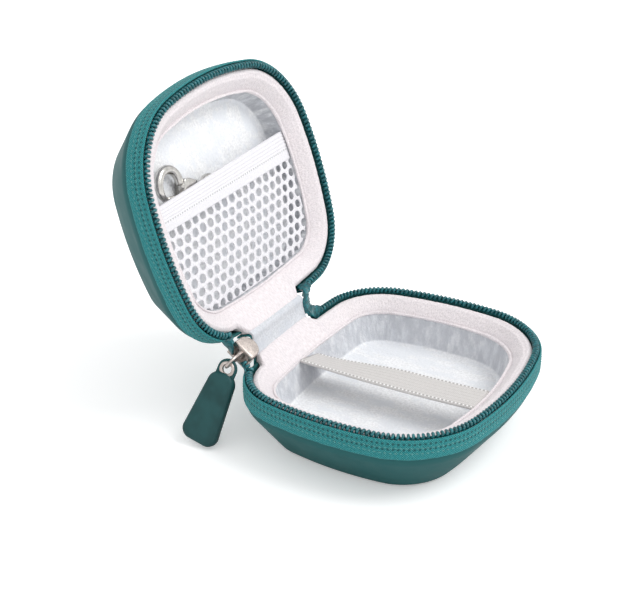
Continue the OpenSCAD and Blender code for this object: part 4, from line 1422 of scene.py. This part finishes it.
class CASE_OT_tail(CaseOperator, bpy.types.Operator):
    """Build the tail of the zip, folded where its right end is closed"""

    bl_idname = "case.tail"
    bl_label = "Zip tail"

    def execute(self, context):
        x, y = ROW_RIGHT - 1.3, CASE_D / 2 + SEAT + 1.4
        made = swept("zip_tail_fold", coil_finish(self.colours),
                     [(x, y, z) for z in spaced(HALF_H - 0.8, HALF_H + 2.9, 10)],
                     flat_section(2.5, 2.6, 0.5), up=(0, 1, 0))
        hold(made, "base", "zip_tail")
        low, high = ([row_point(ROW_TO - ROW_END + ahead, lift, home) for ahead, lift in TAIL_LIFTS]
                     for home in (Matrix.Identity(4), LID_OPEN))
        path, outs = smooth_row([*low, *TAIL_TURN, *high[::-1]], 12)
        sums = runs(path)

        def ribbed(k):
            thin = 0.5 - 0.5 * math.cos(2 * math.pi * sums[k] / TAIL_RIB)
            return flat_section(TAIL_W - 0.3 * thin, TAIL_T - 0.55 * thin, 0.2, 2)
        made = swept("zip_tail_coil", coil_finish(self.colours),
                     [p + Vector((TAIL_W / 2 - 1.0, 0.0, 0.0)) for p in path], ribbed,
                     up=lambda k: outs[k], tidy=False)
        bend(made, low[-1][0], high[-1][0], "teeth")
        return {"FINISHED"}


class CASE_OT_clip(CaseOperator, bpy.types.Operator):
    """Build the metal clip in the pocket: its hook, gate and pin"""

    bl_idname = "case.clip"
    bl_label = "Clip"

    def execute(self, context):
        metal = metal_finish("polished_nickel", self.colours.nickel, 0.12, 0.008)
        knuckle_x = HOOK_R - 0.3
        stem_x = knuckle_x + KNUCKLE_L
        pivot = Vector((knuckle_x + BARREL_R + 0.3, -HOOK_R * 0.56, 0))
        bm = new_mesh()

        def wire(k):
            share = k / 44
            fat = 1.0 + 0.12 * math.sin(math.pi * share) - 0.3 * max(0.0, share - 0.8) / 0.2
            return round_section(WIRE_R * fat, 16)
        sweep_path(bm, [(x, y, 0) for x, y in curve(0, 0, HOOK_R, math.radians(8), NOSE_ANGLE, 44)], wire)
        low, high = pivot.y - BARREL_R, HOOK_R * 0.55
        wide = high - low
        sweep_path(bm, [(x, (low + high) / 2, 0) for x in spaced(knuckle_x + 0.2, stem_x - 0.2, 8)],
                   lambda k: flat_section(wide * (1 - 0.12 * abs(k - 4) / 4), 2 * KNUCKLE_HALF, 0.9, 4))
        sweep_path(bm, [(x, 0, 0) for x in spaced(knuckle_x, stem_x + STEM_L + 0.4, 12)],
                   lambda k: round_section(STEM_R * (1.0 if k < 10 else 0.92), 16))
        eye = curve(stem_x + STEM_L + EYE_R, 0, EYE_R, 0, 2 * math.pi, 36)[:-1]
        sweep_path(bm, [(x, y, 0) for x, y in eye], round_section(WIRE_R, 12), closed=True)
        hold(finish_piece(bm, "clip_hook", metal, AT_CLIP), "clip", "clip_frame")
        nose = Vector((HOOK_R * math.cos(NOSE_ANGLE), HOOK_R * math.sin(NOSE_ANGLE), 0))
        reach = (nose - pivot).length - 0.9
        way = (nose - pivot).normalized()
        made = swept("clip_gate_lever", metal, [pivot + way * run for run in spaced(0, reach, 14)],
                     lambda k: round_section(GATE_R * (1.25 - 0.35 * k / 14), 12), matrix=AT_CLIP)
        hold(made, "clip_gate", "clip_gate")
        half = KNUCKLE_HALF + 0.12
        made = swept("clip_pivot_pin", metal, [(pivot.x, pivot.y, z) for z in spaced(-half, half, 8)],
                     lambda k: round_section(PIN_R * (0.7 if k in (0, 8) else 1.0), 16), up=(0, 1, 0),
                     matrix=AT_CLIP)
        hold(made, "clip", "clip_gate_pin")
        return {"FINISHED"}


class CASE_OT_stage(CaseOperator, bpy.types.Operator):
    """Build the pale floor, the soft studio light and the camera"""

    bl_idname = "case.stage"
    bl_label = "Stage"

    def execute(self, context):
        scene = context.scene
        bm = bmesh.new()
        bmesh.ops.create_grid(bm, x_segments=1, y_segments=1, size=self.sizes.floor_size / 2)
        mesh = bpy.data.meshes.new("floor")
        bm.to_mesh(mesh)
        bm.free()
        f = Finish("pale_floor", FLOOR_TONE, 0.9, Specular_IOR_Level=0.1)
        f.set("Emission Color", WHITE)
        f.set("Emission Strength", f.times(f.put("LightPath", {}).outputs["Is Camera Ray"], FLOOR_GLOW))
        mesh.materials.append(f.material)
        add_object("floor", mesh)
        self.world(scene)
        for name, energy, spread, turn in LAMPS:
            lamp = bpy.data.lights.new(name, "SUN")
            lamp.energy = energy
            lamp.angle = math.radians(spread)
            add_object(name, lamp).rotation_euler = Vector(turn).to_track_quat("Z", "Y").to_euler()
        camera = add_object("camera", bpy.data.cameras.new("camera"))
        camera.location = CAMERA_AT
        camera.rotation_euler = (Vector(CAMERA_AIM) - Vector(CAMERA_AT)).to_track_quat("-Z", "Y").to_euler()
        camera.data.lens = CAMERA_LENS
        camera.data.dof.use_dof = False
        scene.camera = camera
        scene.view_settings.view_transform = "Standard"
        return {"FINISHED"}

    def world(self, scene):
        """Even white light, which the camera and polished faces see a little brighter."""
        scene.world = bpy.data.worlds.new("studio")
        scene.world.use_nodes = True
        tree = scene.world.node_tree
        back = tree.nodes["Background"]
        back.inputs["Color"].default_value = WHITE
        rays = tree.nodes.new("ShaderNodeLightPath").outputs
        seen = rays["Is Camera Ray"]
        for name in ("Is Glossy Ray", "Is Transmission Ray"):
            both = tree.nodes.new("ShaderNodeMath")
            both.operation = "MAXIMUM"
            tree.links.new(seen, both.inputs[0])
            tree.links.new(rays[name], both.inputs[1])
            seen = both.outputs[0]
        level = tree.nodes.new("ShaderNodeMapRange")
        for socket, value in (("To Min", WORLD_LIGHT), ("To Max", 1.0), ("Value", seen)):
            feed(tree, level.inputs[socket], value)
        feed(tree, back.inputs["Strength"], level.outputs[0])


STEPS = (CASE_OT_stage, CASE_OT_shells, CASE_OT_linings, CASE_OT_rolls, CASE_OT_tapes, CASE_OT_coils,
         CASE_OT_hinge, CASE_OT_strap, CASE_OT_pocket, CASE_OT_slider, CASE_OT_tail, CASE_OT_clip)


class CASE_PT_panel(bpy.types.Panel):
    """Sizes, colours and building steps of the case"""

    bl_idname = "CASE_PT_panel"
    bl_label = "Zipped Earbud Case"
    bl_space_type = "VIEW_3D"
    bl_region_type = "UI"
    bl_category = "Case"

    def draw(self, context):
        for group in (context.scene.case_sizes, context.scene.case_colours):
            box = self.layout.box()
            for name in group.__annotations__:
                box.prop(group, name)
        for step in STEPS:
            self.layout.operator(step.bl_idname)


CLASSES = (CaseSizes, CaseColours, *STEPS, CASE_PT_panel)


def register():
    for item in CLASSES:
        bpy.utils.register_class(item)
    bpy.types.Scene.case_sizes = PointerProperty(type=CaseSizes)
    bpy.types.Scene.case_colours = PointerProperty(type=CaseColours)


def unregister():
    del bpy.types.Scene.case_colours
    del bpy.types.Scene.case_sizes
    for item in reversed(CLASSES):
        bpy.utils.unregister_class(item)


def main():
    register()
    for step in STEPS:
        group, name = step.bl_idname.split(".")
        getattr(getattr(bpy.ops, group), name)()


if __name__ == "__main__":
    main()
